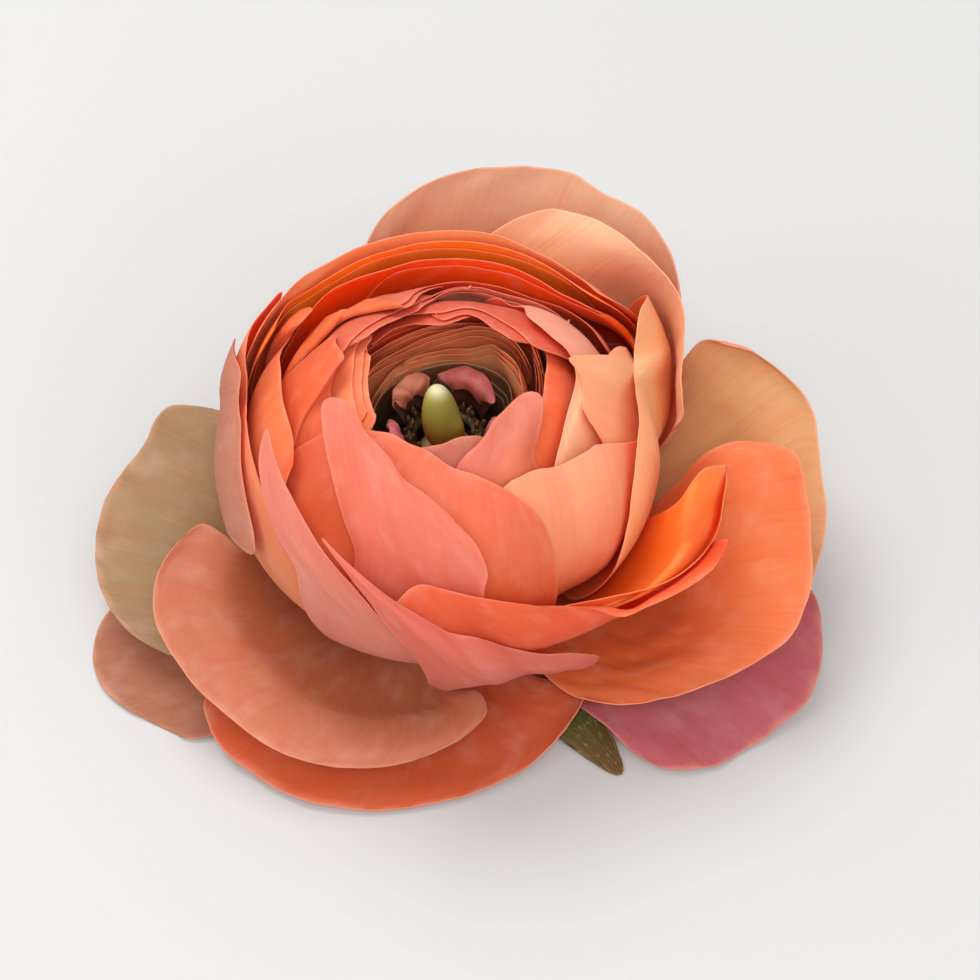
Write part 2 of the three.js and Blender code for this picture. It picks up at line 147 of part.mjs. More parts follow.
    right: [[-16.0,45.86],[-14.0,62.45],[-13.7,74.93],[-18.87,88.3],[-20.2,101.12],[-14.81,102.93],[-5.15,92.11]],
    reach: [[19.53,20.87,22.47,24.55,27.24,27.48],[19.53,20.97,22.71,24.53,27.78,27.88],[19.53,21.28,23.96,25.7,29.41,30.06],[19.53,22.03,25.26,27.33,32.59,34.26],[19.53,22.42,25.61,27.54,33.96,36.4],[19.53,22.77,26.33,27.5,33.6,36.66]] },
  { name: 'cup_petal_front_left_inner', slot: 'petal_coral', mid: -138, zc: 0, base: -18.77, claw: 1.5, thick: 0.36,
    left: [[-136.0,52.0],[-129.0,80.0],[-127.9,99.1],[-137.33,106.03],[-144.84,110.96],[-152.03,114.83],[-156.95,118.52]], top: [[-161.28,123.55],[-153.08,121.86],[-143.57,119.15],[-136.5,116.8],[-128.73,113.2],[-119.35,108.0],[-110.78,102.89]],
    right: [[-88.0,52.0],[-90.0,78.0]],
    reach: [[19.59,20.97,22.75,24.98,27.44,29.3,29.68,29.14,28.46,27.53],[19.59,21.04,22.77,24.63,26.96,28.95,29.71,29.36,28.75,27.87],[19.59,20.81,22.43,24.4,26.5,28.41,29.59,29.55,29.07,28.29],[19.59,20.63,21.97,23.64,25.61,27.64,29.22,29.66,29.41,28.82],[19.59,20.52,21.63,22.98,24.69,26.75,28.56,29.55,29.66,29.31]] },
  { name: 'cup_petal_right_outer', slot: 'petal_coral', mid: -55, zc: 0, base: -19.68, claw: 1.5, thick: 0.36,
    left: [[-88.0,52.0],[-90.0,74.0],[-95.0,87.0]], top: [[-104.0,100.52],[-98.03,106.27],[-91.13,104.43],[-79.01,101.27],[-64.8,96.34],[-55.31,92.16],[-48.95,87.59],[-45.29,89.42],[-38.88,89.99],[-32.16,91.43],[-28.31,95.17]],
    right: [[-14.0,50.0],[-19.0,75.07],[-20.0,84.96],[-24.53,94.78]],
    reach: [[20.46,21.46,23.81,28.49,30.59,31.42,30.41],[20.46,21.86,24.03,26.74,28.65,28.53,27.13],[20.46,22.0,23.67,25.01,28.34,29.76,27.84],[20.46,21.85,23.72,25.86,28.18,30.43,29.24],[20.46,21.37,23.76,26.58,27.75,30.96,31.48],[20.46,21.89,24.11,26.57,27.99,31.98,35.61],[20.46,22.44,24.34,26.51,29.27,34.68,39.64]] },
  { name: 'cup_petal_left_outer', slot: 'petal_coral', mid: 176, zc: 0, base: -19.2, claw: 1.5, thick: 0.36,
    left: [[146.0,60.0],[150.0,88.0]], top: [[151.88,100.83],[171.76,115.05],[179.44,111.74],[-169.85,111.57],[-157.28,107.41],[-150.53,103.83],[-145.11,99.71],[-141.86,93.75]],
    right: [[172.0,48.0],[-180.0,68.0],[-162.0,84.0]],
    reach: [[20.0,21.28,24.71,27.63,28.52,29.15,30.43,31.17,32.08,31.72],[20.0,21.19,24.79,28.23,29.31,30.39,31.43,31.2,30.61,29.35],[20.0,21.02,23.89,28.24,29.43,30.54,30.5,29.72,28.81,27.71],[20.0,21.04,22.81,26.93,29.39,30.5,29.87,29.68,29.31,28.51],[20.0,20.98,22.07,24.78,28.91,29.82,28.89,29.64,29.93,29.57]] },
  { name: 'cup_petal_front_outer', slot: 'petal_coral', mid: -98, zc: 0, base: -19.4, claw: 1.5, thick: 0.36,
    left: [[-99.0,48.0],[-99.0,66.0],[-97.7,88.92],[-104.46,101.07],[-113.57,109.68]], top: [[-124.42,115.49],[-119.09,113.8],[-109.08,109.7],[-99.43,104.0],[-94.12,100.22],[-88.69,95.61],[-82.33,92.15],[-75.76,86.34],[-66.48,79.45],[-58.5,75.39],[-48.31,66.4]],
    right: [[-60.0,40.0],[-51.0,57.5]],
    reach: [[20.19,22.65,25.6,28.29,31.48,33.05,31.63,29.82],[20.19,22.26,25.56,29.68,32.17,33.45,33.07,30.75],[20.19,21.79,24.5,27.02,29.65,32.46,32.97,30.36],[20.19,21.66,23.91,25.15,27.09,30.26,31.34,29.65],[20.19,21.86,23.47,24.35,26.09,29.52,31.79,30.71],[20.19,22.43,22.7,23.58,25.65,29.3,32.67,32.66]] },
  { name: 'guard_petal_back_right_inner', slot: 'petal_outer_guard', mid: 52, zc: 30, base: -20.2, claw: 1.5, thick: 0.5,
    left: [[28.0,15.58],[22.0,27.15],[17.0,36.5]], top: [[9.98,43.17],[9.0,48.39],[20.0,53.06],[31.82,57.68],[39.74,59.71],[49.99,60.85],[60.2,61.69],[69.28,60.94],[75.4,59.35]],
    right: [[98.0,22.62],[92.0,41.42]],
    reach: [[50.51,50.99,51.82,52.37,52.48,52.15,51.48,49.76,46.66,43.53],[50.51,51.13,51.93,52.19,52.65,52.6,52.93,49.67,43.95,40.18],[50.51,51.39,52.34,52.61,53.42,54.42,54.73,52.39,45.17,40.65],[50.51,51.76,52.99,53.37,53.49,53.89,54.51,53.19,46.93,42.6],[50.51,51.8,53.04,53.4,53.09,51.96,51.15,50.6,46.51,42.89],[50.51,51.73,52.9,53.26,52.93,50.28,46.86,44.96,43.69,42.99],[50.51,51.6,52.67,52.95,52.7,49.94,46.02,43.6,42.63,42.59],[50.51,51.23,52.01,52.17,52.04,49.82,46.03,42.85,41.33,40.86]] },
  { name: 'guard_petal_right_raised', slot: 'petal_outer_guard', mid: -22, zc: 30, base: -20.8, claw: 1.5, thick: 0.5,
    left: [[-56.0,15.95],[-56.0,24.57]], top: [[-52.72,30.61],[-48.06,33.24],[-43.71,35.98],[-35.21,40.58],[-28.76,45.07],[-23.39,48.93],[-16.9,50.45],[-9.86,51.48],[-2.32,54.07],[2.17,54.55],[6.83,51.79]],
    right: [[8.0,17.26],[4.0,33.07],[5.93,42.88],[7.26,47.54]],
    reach: [[51.11,51.91,52.9,53.93,55.11,56.81,58.45,59.71],[51.11,52.59,54.3,55.56,56.84,58.54,59.93,61.67],[51.11,53.23,55.52,56.9,58.29,59.67,60.72,63.44],[51.11,53.78,56.4,57.83,59.03,59.63,60.7,64.44],[51.11,53.83,56.37,57.54,58.12,57.97,58.87,63.1],[51.11,53.33,55.24,55.55,54.87,53.59,53.72,58.17],[51.11,52.62,53.9,53.33,51.7,49.34,48.49,52.49]] },
  { name: 'guard_petal_front_left_upper', slot: 'petal_outer_guard', mid: -135, zc: 30, base: -21, claw: 1.5, thick: 0.5,
    left: [[-172.0,16.24],[-168.66,31.01],[-172.09,34.83],[-175.53,37.78]], top: [[-171.43,40.87],[-164.4,43.05],[-159.39,43.71],[-153.43,43.75],[-146.54,42.45],[-138.42,40.57],[-126.76,38.69],[-114.12,36.17],[-101.79,33.11],[-91.39,30.55],[-83.52,28.5]],
    right: [[-92.0,14.8],[-86.0,21.61],[-79.25,23.58],[-78.38,26.93]],
    reach: [[51.31,52.33,53.65,53.09,51.58,51.28,53.96],[51.31,53.0,54.89,54.88,54.53,55.09,58.86],[51.31,53.28,55.48,56.01,56.39,57.16,61.18],[51.31,53.43,55.82,56.86,57.81,58.65,62.69],[51.31,53.43,55.83,57.21,58.6,59.43,63.41],[51.31,53.21,55.39,56.94,58.62,59.21,62.91],[51.31,52.8,54.54,56.06,57.94,58.09,61.42],[51.31,52.28,53.46,54.79,56.85,56.54,59.37]] },
  { name: 'guard_petal_back', slot: 'petal_outer_guard', mid: 82, zc: 30, base: -21.4, claw: 1.5, thick: 0.5,
    left: [[35.0,19.8],[33.0,38.48]], top: [[35.53,57.2],[41.64,59.75],[48.86,62.32],[53.77,63.71],[61.12,64.03],[67.02,65.42],[73.02,65.08],[84.15,64.21],[90.4,63.13],[97.32,60.88],[103.51,57.83]],
    right: [[122.0,19.62],[116.0,36.63],[108.42,53.69]],
    reach: [[51.7,52.38,53.02,53.21,53.16,53.82,55.16,55.55,53.21,48.6,45.33],[51.7,52.5,53.5,54.19,54.37,54.8,55.85,56.45,54.13,49.13,47.16],[51.7,52.73,54.02,54.88,55.15,55.15,55.19,54.95,52.06,48.94,48.01],[51.7,52.85,54.24,55.11,55.39,54.9,53.26,51.59,49.7,48.35,48.0],[51.7,53.0,54.53,55.45,55.74,54.93,52.59,50.55,49.1,48.29,48.3],[51.7,53.04,54.6,55.53,55.77,54.78,52.36,50.34,48.93,48.05,48.15],[51.7,52.93,54.4,55.23,55.31,54.11,51.58,49.52,47.98,46.93,46.98],[51.7,52.8,54.16,54.9,54.81,53.44,50.82,48.69,47.05,45.89,45.89],[51.7,52.56,53.7,54.32,54.05,52.57,49.94,47.72,45.99,44.66,44.62],[51.7,52.31,53.2,53.75,53.34,51.85,49.38,47.1,45.4,43.9,44.01]] },
  { name: 'guard_petal_left', slot: 'petal_outer_guard', mid: 182, zc: 30, base: -22.45, claw: 1.5, thick: 0.5,
    left: [[160.0,17.26],[158.0,28.79]], top: [[153.65,41.9],[154.98,43.96],[157.34,46.04],[163.0,44.68],[172.0,44.69],[-178.0,44.11],[-168.0,42.05],[-160.0,39.43]],
    right: [[-144.0,14.66],[-146.0,25.92],[-152.0,34.19]],
    reach: [[52.75,53.14,53.59,53.47,53.98,53.04,51.24,49.65,52.52],[52.75,53.21,53.74,53.52,53.6,53.23,52.62,54.99,60.56],[52.75,53.67,54.68,55.01,55.51,56.3,57.11,60.1,65.93],[52.75,54.17,55.15,55.31,55.91,57.28,58.87,62.27,68.19],[52.75,54.09,55.51,56.6,56.81,58.53,60.84,63.6,68.67],[52.75,53.78,55.42,57.3,57.76,59.56,62.44,64.83,67.44]] },
  { name: 'guard_petal_front_lower', slot: 'petal_outer_guard', mid: -105, zc: 30, base: -22.82, claw: 1.5, thick: 0.5,
    left: [[-152.0,14.53],[-148.0,24.64]], top: [[-148.54,35.99],[-143.58,36.4],[-136.52,36.74],[-129.34,36.27],[-120.51,35.75],[-111.34,34.76],[-98.65,33.11],[-86.02,31.71],[-73.93,30.28],[-59.83,28.48],[-49.06,26.78]],
    right: [[-62.0,14.46],[-57.0,20.9],[-43.83,24.72]],
    reach: [[53.12,54.14,58.51,59.28,61.38,66.18],[53.12,54.36,57.33,59.46,62.96,69.36],[53.12,54.71,56.48,59.7,63.99,69.53],[53.12,54.92,56.59,59.97,63.86,68.12],[53.12,54.72,56.42,59.67,63.08,66.35],[53.12,54.45,55.94,58.93,61.77,63.99],[53.12,54.08,55.24,57.86,60.04,61.2]] },
  { name: 'guard_petal_right', slot: 'petal_outer_guard', mid: 10, zc: 30, base: -22.51, claw: 1.5, thick: 0.5,
    left: [[-28.0,17.63],[-26.0,31.61]], top: [[-22.0,40.03],[-14.0,45.3],[-2.0,49.3],[8.0,51.34],[14.21,53.5],[18.54,54.3],[23.95,54.19],[27.05,53.35],[30.73,51.25]],
    right: [[40.0,18.01],[38.0,31.61],[34.53,48.78]],
    reach: [[52.81,53.81,55.49,57.25,58.6,59.5,60.51,62.52,65.34],[52.81,54.09,56.0,57.86,58.77,60.0,61.8,64.2,66.83],[52.81,54.4,56.2,57.5,58.52,60.26,62.29,64.58,66.68],[52.81,54.62,56.45,57.5,58.53,60.2,62.1,63.96,65.75],[52.81,54.67,56.52,57.43,58.14,59.41,61.05,62.4,64.08],[52.81,54.71,56.5,57.23,57.54,58.36,59.62,60.4,62.44],[52.81,54.38,55.79,56.09,56.11,56.54,56.93,56.62,58.0],[52.81,53.88,54.9,55.07,55.62,56.77,56.77,53.85,52.52]] },
  { name: 'guard_petal_front_right_lower', slot: 'petal_outer_guard', mid: -30, zc: 30, base: -23.6, claw: 1.5, thick: 0.5,
    left: [[-60.0,15.26],[-52.0,25.22]], top: [[-50.23,34.91],[-46.51,37.06],[-41.09,38.97],[-36.59,39.63],[-30.63,41.23],[-26.03,42.74],[-20.82,44.01],[-13.0,44.17],[-5.0,43.28]],
    right: [[12.0,15.39],[8.0,27.85],[2.0,37.57]],
    reach: [[53.89,54.61,55.67,58.16,60.32,61.53,62.42,64.58,68.48],[53.89,54.91,56.03,57.72,60.77,62.25,63.75,67.32,72.44],[53.89,55.08,56.66,58.88,60.52,62.06,64.97,69.14,74.67],[53.89,55.65,58.15,59.47,60.16,61.51,64.7,69.29,75.48],[53.89,56.45,57.85,58.54,59.33,60.7,63.67,68.87,75.49],[53.89,56.16,56.6,57.89,58.95,60.09,62.48,67.37,73.17],[53.89,54.85,56.13,57.54,58.53,59.51,62.0,66.16,70.67]] },
  { name: 'guard_petal_left_lower', slot: 'petal_outer_guard', mid: -160, zc: 30, base: -23.46, claw: 1.5, thick: 0.5,
    left: [[-180.0,15.18],[178.0,27.84]], top: [[-180.0,36.19],[-172.0,39.46],[-163.0,40.63],[-155.0,39.76],[-147.29,37.17],[-141.7,36.24]],
    right: [[-134.0,14.18],[-137.0,25.5],[-140.66,35.52]],
    reach: [[53.75,55.13,56.27,57.91,59.93,62.14,64.77,67.73,71.12],[53.75,55.39,56.59,58.46,60.55,63.29,66.73,70.67,75.01],[53.75,55.57,58.83,60.67,60.87,63.28,66.98,71.28,76.03],[53.75,58.51,59.21,60.4,61.3,62.86,66.09,70.06,73.84],[53.75,58.43,59.01,59.33,60.91,62.43,64.7,68.08,71.57]] },
  { name: 'sepal_front_right', slot: 'green_stem', mid: -54, zc: 30, base: -24.3, claw: 1.5, thick: 0.6,
    left: [[-79.0,10.27],[-68.44,17.58]], top: [[-58.61,29.27],[-56.23,32.37],[-54.0,33.71],[-51.77,32.37],[-49.39,29.27]],
    right: [[-29.0,10.27],[-39.56,17.58]],
    reach: [[54.59,55.54,56.7,58.22,60.31,63.02,65.94],[54.59,56.21,59.22,60.29,62.01,64.02,67.85],[54.59,57.3,59.38,60.61,62.58,65.22,69.34],[54.59,56.11,58.27,60.29,62.01,64.47,67.85],[54.59,56.4,59.03,59.9,61.33,63.41,65.66]] },
  { name: 'sepal_right', slot: 'green_stem', mid: 30, zc: 30, base: -24.3, claw: 1.5, thick: 0.6,
    left: [[0.0,10.27],[12.67,17.58]], top: [[22.11,21.46],[26.18,23.97],[30.0,25.08],[33.82,23.97],[37.89,21.46]],
    right: [[60.0,10.27],[47.33,17.58]],
    reach: [[54.59,57.26,59.26,59.5,61.8],[54.59,56.02,59.07,60.06,63.0],[54.59,55.47,58.0,60.64,63.68],[54.59,55.4,57.86,60.24,63.0],[54.59,55.13,57.5,59.55,61.97]] },
  { name: 'sepal_back', slot: 'green_stem', mid: 92, zc: 30, base: -24.3, claw: 1.5, thick: 0.6,
    left: [[59.5,10.27],[73.22,17.58]], top: [[83.45,21.46],[87.86,23.97],[92.0,25.08],[96.14,23.97],[100.55,21.46]],
    right: [[124.5,10.27],[110.78,17.58]],
    reach: [[54.59,55.04,57.35,59.5,61.97],[54.59,55.33,57.76,60.18,63.01],[54.59,55.51,57.99,60.61,63.68],[54.59,55.33,57.76,60.18,63.01],[54.59,55.04,57.35,59.5,61.97]] },
  { name: 'sepal_left', slot: 'green_stem', mid: 155, zc: 30, base: -24.3, claw: 1.5, thick: 0.6,
    left: [[125.0,10.27],[137.67,17.58]], top: [[147.11,21.46],[151.18,23.97],[155.0,25.08],[158.82,23.97],[162.89,21.46]],
    right: [[-175.0,10.27],[172.33,17.58]],
    reach: [[54.59,55.12,57.48,59.55,61.97],[54.59,55.41,57.89,60.23,63.0],[54.59,55.55,58.1,60.67,63.68],[54.59,55.3,57.93,60.19,63.0],[54.59,56.39,58.6,59.52,61.9]] },
  { name: 'sepal_front', slot: 'green_stem', mid: -100, zc: 30, base: -24.3, claw: 1.5, thick: 0.6,
    left: [[-127.5,10.27],[-115.89,17.58]], top: [[-107.52,20.73],[-103.64,23.17],[-100.0,24.26],[-96.36,23.17],[-92.48,20.73]],
    right: [[-72.5,10.27],[-84.11,17.58]],
    reach: [[54.59,55.54,58.32,59.94,61.67],[54.59,55.84,58.54,61.01,62.63],[54.59,55.98,58.95,61.41,63.27],[54.59,55.6,58.28,60.9,62.63],[54.59,58.3,58.13,59.8,61.67]] },
];
const PETALOIDS = [
  { name: 'petaloid_back_right', az: 58, half: 40, r0: 6.6, r1: 7.6, curl: 0.7, z0: 3, z1: 8.7 },
  { name: 'petaloid_back_left', az: 134, half: 32, r0: 6.5, r1: 7.5, curl: 0.6, z0: 3, z1: 8.3 },
  { name: 'petaloid_left', az: 196, half: 24, r0: 6.4, r1: 7.2, curl: 0.5, z0: 3, z1: 7 },
  { name: 'petaloid_front', az: 250, half: 26, r0: 6.4, r1: 7.2, curl: 0.5, z0: 3, z1: 6.4 },
  { name: 'petaloid_right', az: 336, half: 34, r0: 6.4, r1: 7.2, curl: 0.6, z0: 3, z1: 7.2 },
];

// ---- helpers ----
const RAD = Math.PI / 180;

// Catmull-Rom through rows of numbers, u in [0, rows - 1], ends extended in a line
function spline(rows, u) {
  const n = rows.length, k = rows[0].length;
  const at = (i) => {
    if (i < 0) return rows[0].map((v, c) => 2 * v - rows[1][c]);
    if (i > n - 1) return rows[n - 1].map((v, c) => 2 * v - rows[n - 2][c]);
    return rows[i];
  };
  const x = Math.min(Math.max(u, 0), n - 1 - 1e-9), i = Math.floor(x), s = x - i;
  const p0 = at(i - 1), p1 = at(i), p2 = at(i + 1), p3 = at(i + 2), out = [];
  for (let c = 0; c < k; c++) {
    out.push(0.5 * (2 * p1[c] + (p2[c] - p0[c]) * s + (2 * p0[c] - 5 * p1[c] + 4 * p2[c] - p3[c]) * s * s
      + (3 * p1[c] - p0[c] - 3 * p2[c] + p3[c]) * s * s * s));
  }
  return out;
}

// the same curve walked by its own length, x in [0, 1]
function evenCurve(rows) {
  const n = 40 * rows.length, u = [], len = [0];
  let last = null;
  for (let j = 0; j < n; j++) {
    u.push((rows.length - 1) * j / (n - 1));
    const q = spline(rows, u[j]);
    if (last) len.push(len[j - 1] + Math.hypot(q[0] - last[0], q[1] - last[1]));
    last = q;
  }
  const total = len[n - 1];
  return (x) => {
    const d = x * total;
    let j = 1;
    while (j < n - 1 && len[j] < d) j++;
    const f = len[j] > len[j - 1] ? Math.min(Math.max((d - len[j - 1]) / (len[j] - len[j - 1]), 0), 1) : 0;
    return spline(rows, u[j - 1] + f * (u[j] - u[j - 1]));
  };
}

// a petal's outline is drawn on a sphere round (0, 0, zc): azimuth and angle up from straight down;
// the inside of the outline is filled between its four sides and pushed out to the reach table
function petalGrid(p) {
  const toChart = ([th, al]) => {
    let d = (th - p.mid) % 360;
    if (d > 180) d -= 360;
    if (d < -180) d += 360;
    return [al * RAD, CLAW_CHART * d * RAD];
  };
  const base = Math.atan2(CLAW_RADIUS, p.zc - p.base), half = p.claw / CLAW_RADIUS * CLAW_CHART;
  const A = [base, -half], B = [base, half];
  const M = p.top.map(toChart);
  const L = [A, ...p.left.map(toChart), M[0]], R = [B, ...p.right.map(toChart), M[M.length - 1]];
  const fl = evenCurve(L), fr = evenCurve(R), fm = evenCurve(M), m0 = M[0], m1 = M[M.length - 1];
  const ca = p.reach.length - 1, ct = p.reach[0].length - 1, grid = [];
  for (let i = 0; i <= ca; i++) {
    const a = i / ca, row = [], m = fm(a);
    for (let j = 0; j <= ct; j++) {
      const t = j / ct, l = fl(t), r = fr(t), q = [0, 1].map((c) =>
        (1 - a) * l[c] + a * r[c] + (1 - t) * ((1 - a) * A[c] + a * B[c]) + t * m[c]
        - ((1 - a) * (1 - t) * A[c] + a * (1 - t) * B[c] + (1 - a) * t * m0[c] + a * t * m1[c]));
      const al = q[0], th = p.mid * RAD + q[1] / CLAW_CHART, d = p.reach[i][j];
      row.push(new THREE.Vector3(d * Math.sin(al) * Math.cos(th), d * Math.sin(al) * Math.sin(th), p.zc - d * Math.cos(al)));
    }
    grid.push(row);
  }
  return grid;
}

// closed shell of even thickness round a grid of points
function shell(grid, thickness) {
  const ni = grid.length, nj = grid[0].length, h = thickness / 2, outer = [], inner = [];
  for (let i = 0; i < ni; i++) {
    for (let j = 0; j < nj; j++) {
      const n = new THREE.Vector3();
      for (const [di, dj] of [[1, 1], [-1, 1], [-1, -1], [1, -1]]) {
        const a = grid[i + di], b = grid[i][j + dj];
        if (!a || !b) continue;
        const e = a[j].clone().sub(grid[i][j]).multiplyScalar(di), f = b.clone().sub(grid[i][j]).multiplyScalar(dj);
        const c = e.cross(f), l = c.length();
        if (l > 1e-9) n.add(c.multiplyScalar(1 / l));
      }
      n.normalize();
      outer.push(grid[i][j].clone().addScaledVector(n, h));
      inner.push(grid[i][j].clone().addScaledVector(n, -h));
    }
  }
  const pos = [], N = ni * nj, idx = [], id = (i, j) => i * nj + j;
  for (const v of [...outer, ...inner]) pos.push(v.x, v.y, v.z);
  for (let i = 0; i < ni - 1; i++) {
    for (let j = 0; j < nj - 1; j++) {
      const a = id(i, j), b = id(i + 1, j), c = id(i + 1, j + 1), d = id(i, j + 1);
      const short = grid[i][j].distanceTo(grid[i + 1][j + 1]) <= grid[i + 1][j].distanceTo(grid[i][j + 1]);
      const tris = short ? [[a, b, c], [a, c, d]] : [[a, b, d], [b, c, d]];
      for (const [x, y, z] of tris) { idx.push(x, y, z); idx.push(x + N, z + N, y + N); }
    }
  }
  const wall = (a, b) => { idx.push(a, a + N, b + N, a, b + N, b); };
  for (let i = 0; i < ni - 1; i++) { wall(id(i, 0), id(i + 1, 0)); wall(id(i + 1, nj - 1), id(i, nj - 1)); }
  for (let j = 0; j < nj - 1; j++) { wall(id(ni - 1, j), id(ni - 1, j + 1)); wall(id(0, j + 1), id(0, j)); }
  return solid(pos, idx);
}

function solid(pos, idx) {
  const g = new THREE.BufferGeometry();
  g.setAttribute('position', new THREE.Float32BufferAttribute(pos, 3));
  g.setIndex(idx);
  g.computeVertexNormals();
  return g;
}

// closed body of revolution from [radius, height] pairs, bottom to top
function lathe(profile, segments, cx = 0, cy = 0) {
  const pos = [], idx = [], rings = [];
  for (const [r, z] of profile) {
    if (r === 0) { rings.push([pos.length / 3]); pos.push(cx, cy, z); continue; }
    const ring = [];
    for (let s = 0; s < segments; s++) {
      const t = 2 * Math.PI * s / segments;
      ring.push(pos.length / 3); pos.push(cx + r * Math.cos(t), cy + r * Math.sin(t), z);
    }
    rings.push(ring);
  }
  for (let k = 0; k < rings.length - 1; k++) {
    const lo = rings[k], hi = rings[k + 1];
    for (let s = 0; s < segments; s++) {
      const n = (s + 1) % segments;
      if (lo.length === 1) idx.push(lo[0], hi[n], hi[s]);
      else if (hi.length === 1) idx.push(lo[s], lo[n], hi[0]);
      else idx.push(lo[s], lo[n], hi[n], lo[s], hi[n], hi[s]);
    }
  }
  return solid(pos, idx);
}

// one ring of stamens, its rim rising and falling once per stamen
function crown(c, cx, cy) {
  const n = c.count * 2, pos = [], idx = [], mid = (c.rIn + c.rOut) / 2;
  for (let s = 0; s < n; s++) {
    const t = 2 * Math.PI * s / n, up = s % 2 === 0 ? c.wave : -c.wave;
    const section = [[c.rIn + 0.5, c.zLow], [c.rOut - 0.5, c.zLow], [c.rOut, (c.zLow + c.zHigh) / 2], [c.rOut - 0.25, c.zHigh + up], [mid, c.zHigh + 0.35 + up], [c.rIn, c.zHigh - 0.3 + up]];
    for (const [r, z] of section) pos.push(cx + r * Math.cos(t), cy + r * Math.sin(t), z);
  }
  for (let s = 0; s < n; s++) {
    const m = (s + 1) % n;
    for (let k = 0; k < 6; k++) {
      const l = (k + 1) % 6, a = s * 6 + k, b = m * 6 + k, d = m * 6 + l, e = s * 6 + l;
      idx.push(a, b, d, a, d, e);
    }
  }
  return solid(pos, idx);
}

// a small curled petaloid standing between the stamens and the throat wall
function petaloid(q) {
  const ni = 5, nj = 5, grid = [];
  for (let i = 0; i < ni; i++) {
    const s = 2 * i / (ni - 1) - 1, row = [];
    for (let j = 0; j < nj; j++) {
      const t = j / (nj - 1), spread = q.half * (0.45 + 0.55 * Math.sin(Math.PI * Math.min(t * 1.25, 1) / 2)) * (1 - 0.35 * t * t * t);
      const th = (q.az + spread * s) * RAD, r = q.r0 + (q.r1 - q.r0) * Math.sin(Math.PI * t * 0.75) - q.curl * s * s;
      const z = q.z0 + (q.z1 - q.z0) * t * (1 - 0.12 * s * s);
      row.push(new THREE.Vector3(CARPEL_AXIS[0] + r * Math.cos(th), CARPEL_AXIS[1] + r * Math.sin(th), z));
    }
    grid.push(row);
  }
  return shell(grid, PETALOID_THICKNESS);
}

// ---- finishes ----
const finish = {
  petal_coral: new THREE.MeshStandardMaterial({ color: 0xe8826a, roughness: 0.6 }),
  petal_outer_guard: new THREE.MeshStandardMaterial({ color: 0xd98c68, roughness: 0.65 }),
  throat_tan: new THREE.MeshStandardMaterial({ color: 0xb98256, roughness: 0.7 }),
  heart_pink: new THREE.MeshStandardMaterial({ color: 0xb8756a, roughness: 0.65 }),
  carpel_olive: new THREE.MeshStandardMaterial({ color: 0xaaa45e, roughness: 0.6 }),
  green_stem: new THREE.MeshStandardMaterial({ color: 0x6f7a35, roughness: 0.7 }),
};

// ---- assembly ----
const group = new THREE.Group();
group.name = 'ranunculus_flower';
function add(name, geometry, slot) {
  const mesh = new THREE.Mesh(geometry, finish[slot]);
  mesh.name = name;
  group.add(mesh);
}
for (const p of PETALS) add(p.name, shell(petalGrid(p), p.thick), p.slot);
for (const q of PETALOIDS) add(q.name, petaloid(q), 'heart_pink');
add('receptacle', lathe(RECEPTACLE, 20), 'green_stem');
add('stem_stub', lathe([[0, STEM_END_Z], [STEM_RADIUS, STEM_END_Z], [STEM_RADIUS, STEM_TOP_Z], [0, STEM_TOP_Z]], 20), 'green_stem');
// the cone leans a little to the left
const cone = lathe(CARPEL, 16, ...CARPEL_AXIS);
const conePos = cone.getAttribute('position');
for (let i = 0; i < conePos.count; i++) conePos.setX(i, conePos.getX(i) + CARPEL_LEAN * (conePos.getZ(i) - CARPEL[0][1]));
cone.computeVertexNormals();
add('carpel_cone', cone, 'carpel_olive');
add('stamen_ring', crown(CROWN, ...CARPEL_AXIS), 'carpel_olive');

// the footprint is centred on the origin and its lowest point stands on z = 0
const box = new THREE.Box3();
for (const m of group.children) { m.geometry.computeBoundingBox(); box.union(m.geometry.boundingBox); }
const mid = box.getCenter(new THREE.Vector3());
for (const m of group.children) m.geometry.translate(-mid.x, -mid.y, -box.min.z);

export default group;
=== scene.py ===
import bpy, bmesh, math
import numpy as np
from mathutils import Matrix, Vector


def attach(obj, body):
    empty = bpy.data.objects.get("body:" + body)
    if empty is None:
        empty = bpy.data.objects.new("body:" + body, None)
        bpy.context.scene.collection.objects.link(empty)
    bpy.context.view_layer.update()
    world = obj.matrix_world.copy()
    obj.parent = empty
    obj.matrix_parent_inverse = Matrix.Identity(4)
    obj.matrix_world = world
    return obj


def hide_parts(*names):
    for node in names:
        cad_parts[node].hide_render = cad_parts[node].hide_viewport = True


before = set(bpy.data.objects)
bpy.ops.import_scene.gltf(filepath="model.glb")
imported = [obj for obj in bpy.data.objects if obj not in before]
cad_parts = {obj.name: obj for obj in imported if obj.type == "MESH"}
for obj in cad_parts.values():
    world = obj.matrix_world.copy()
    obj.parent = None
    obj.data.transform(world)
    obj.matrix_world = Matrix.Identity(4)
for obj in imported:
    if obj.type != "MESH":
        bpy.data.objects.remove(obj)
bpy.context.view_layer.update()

RNG = np.random.RandomState(7)

CLAW_RADIUS = 5.6      # radius at which every petal leaves the receptacle
CLAW_CHART = 0.7       # width scale of the azimuth in a petal's flat chart
CARPEL_AXIS = (-0.3, 0.0)
CARPEL_LEAN = -0.075   # the seed cone leans to the left, for each millimetre of height
SHIFT = (-1.2778, -2.6797, 28.0000)   # from the ball centre to the origin, millimetres

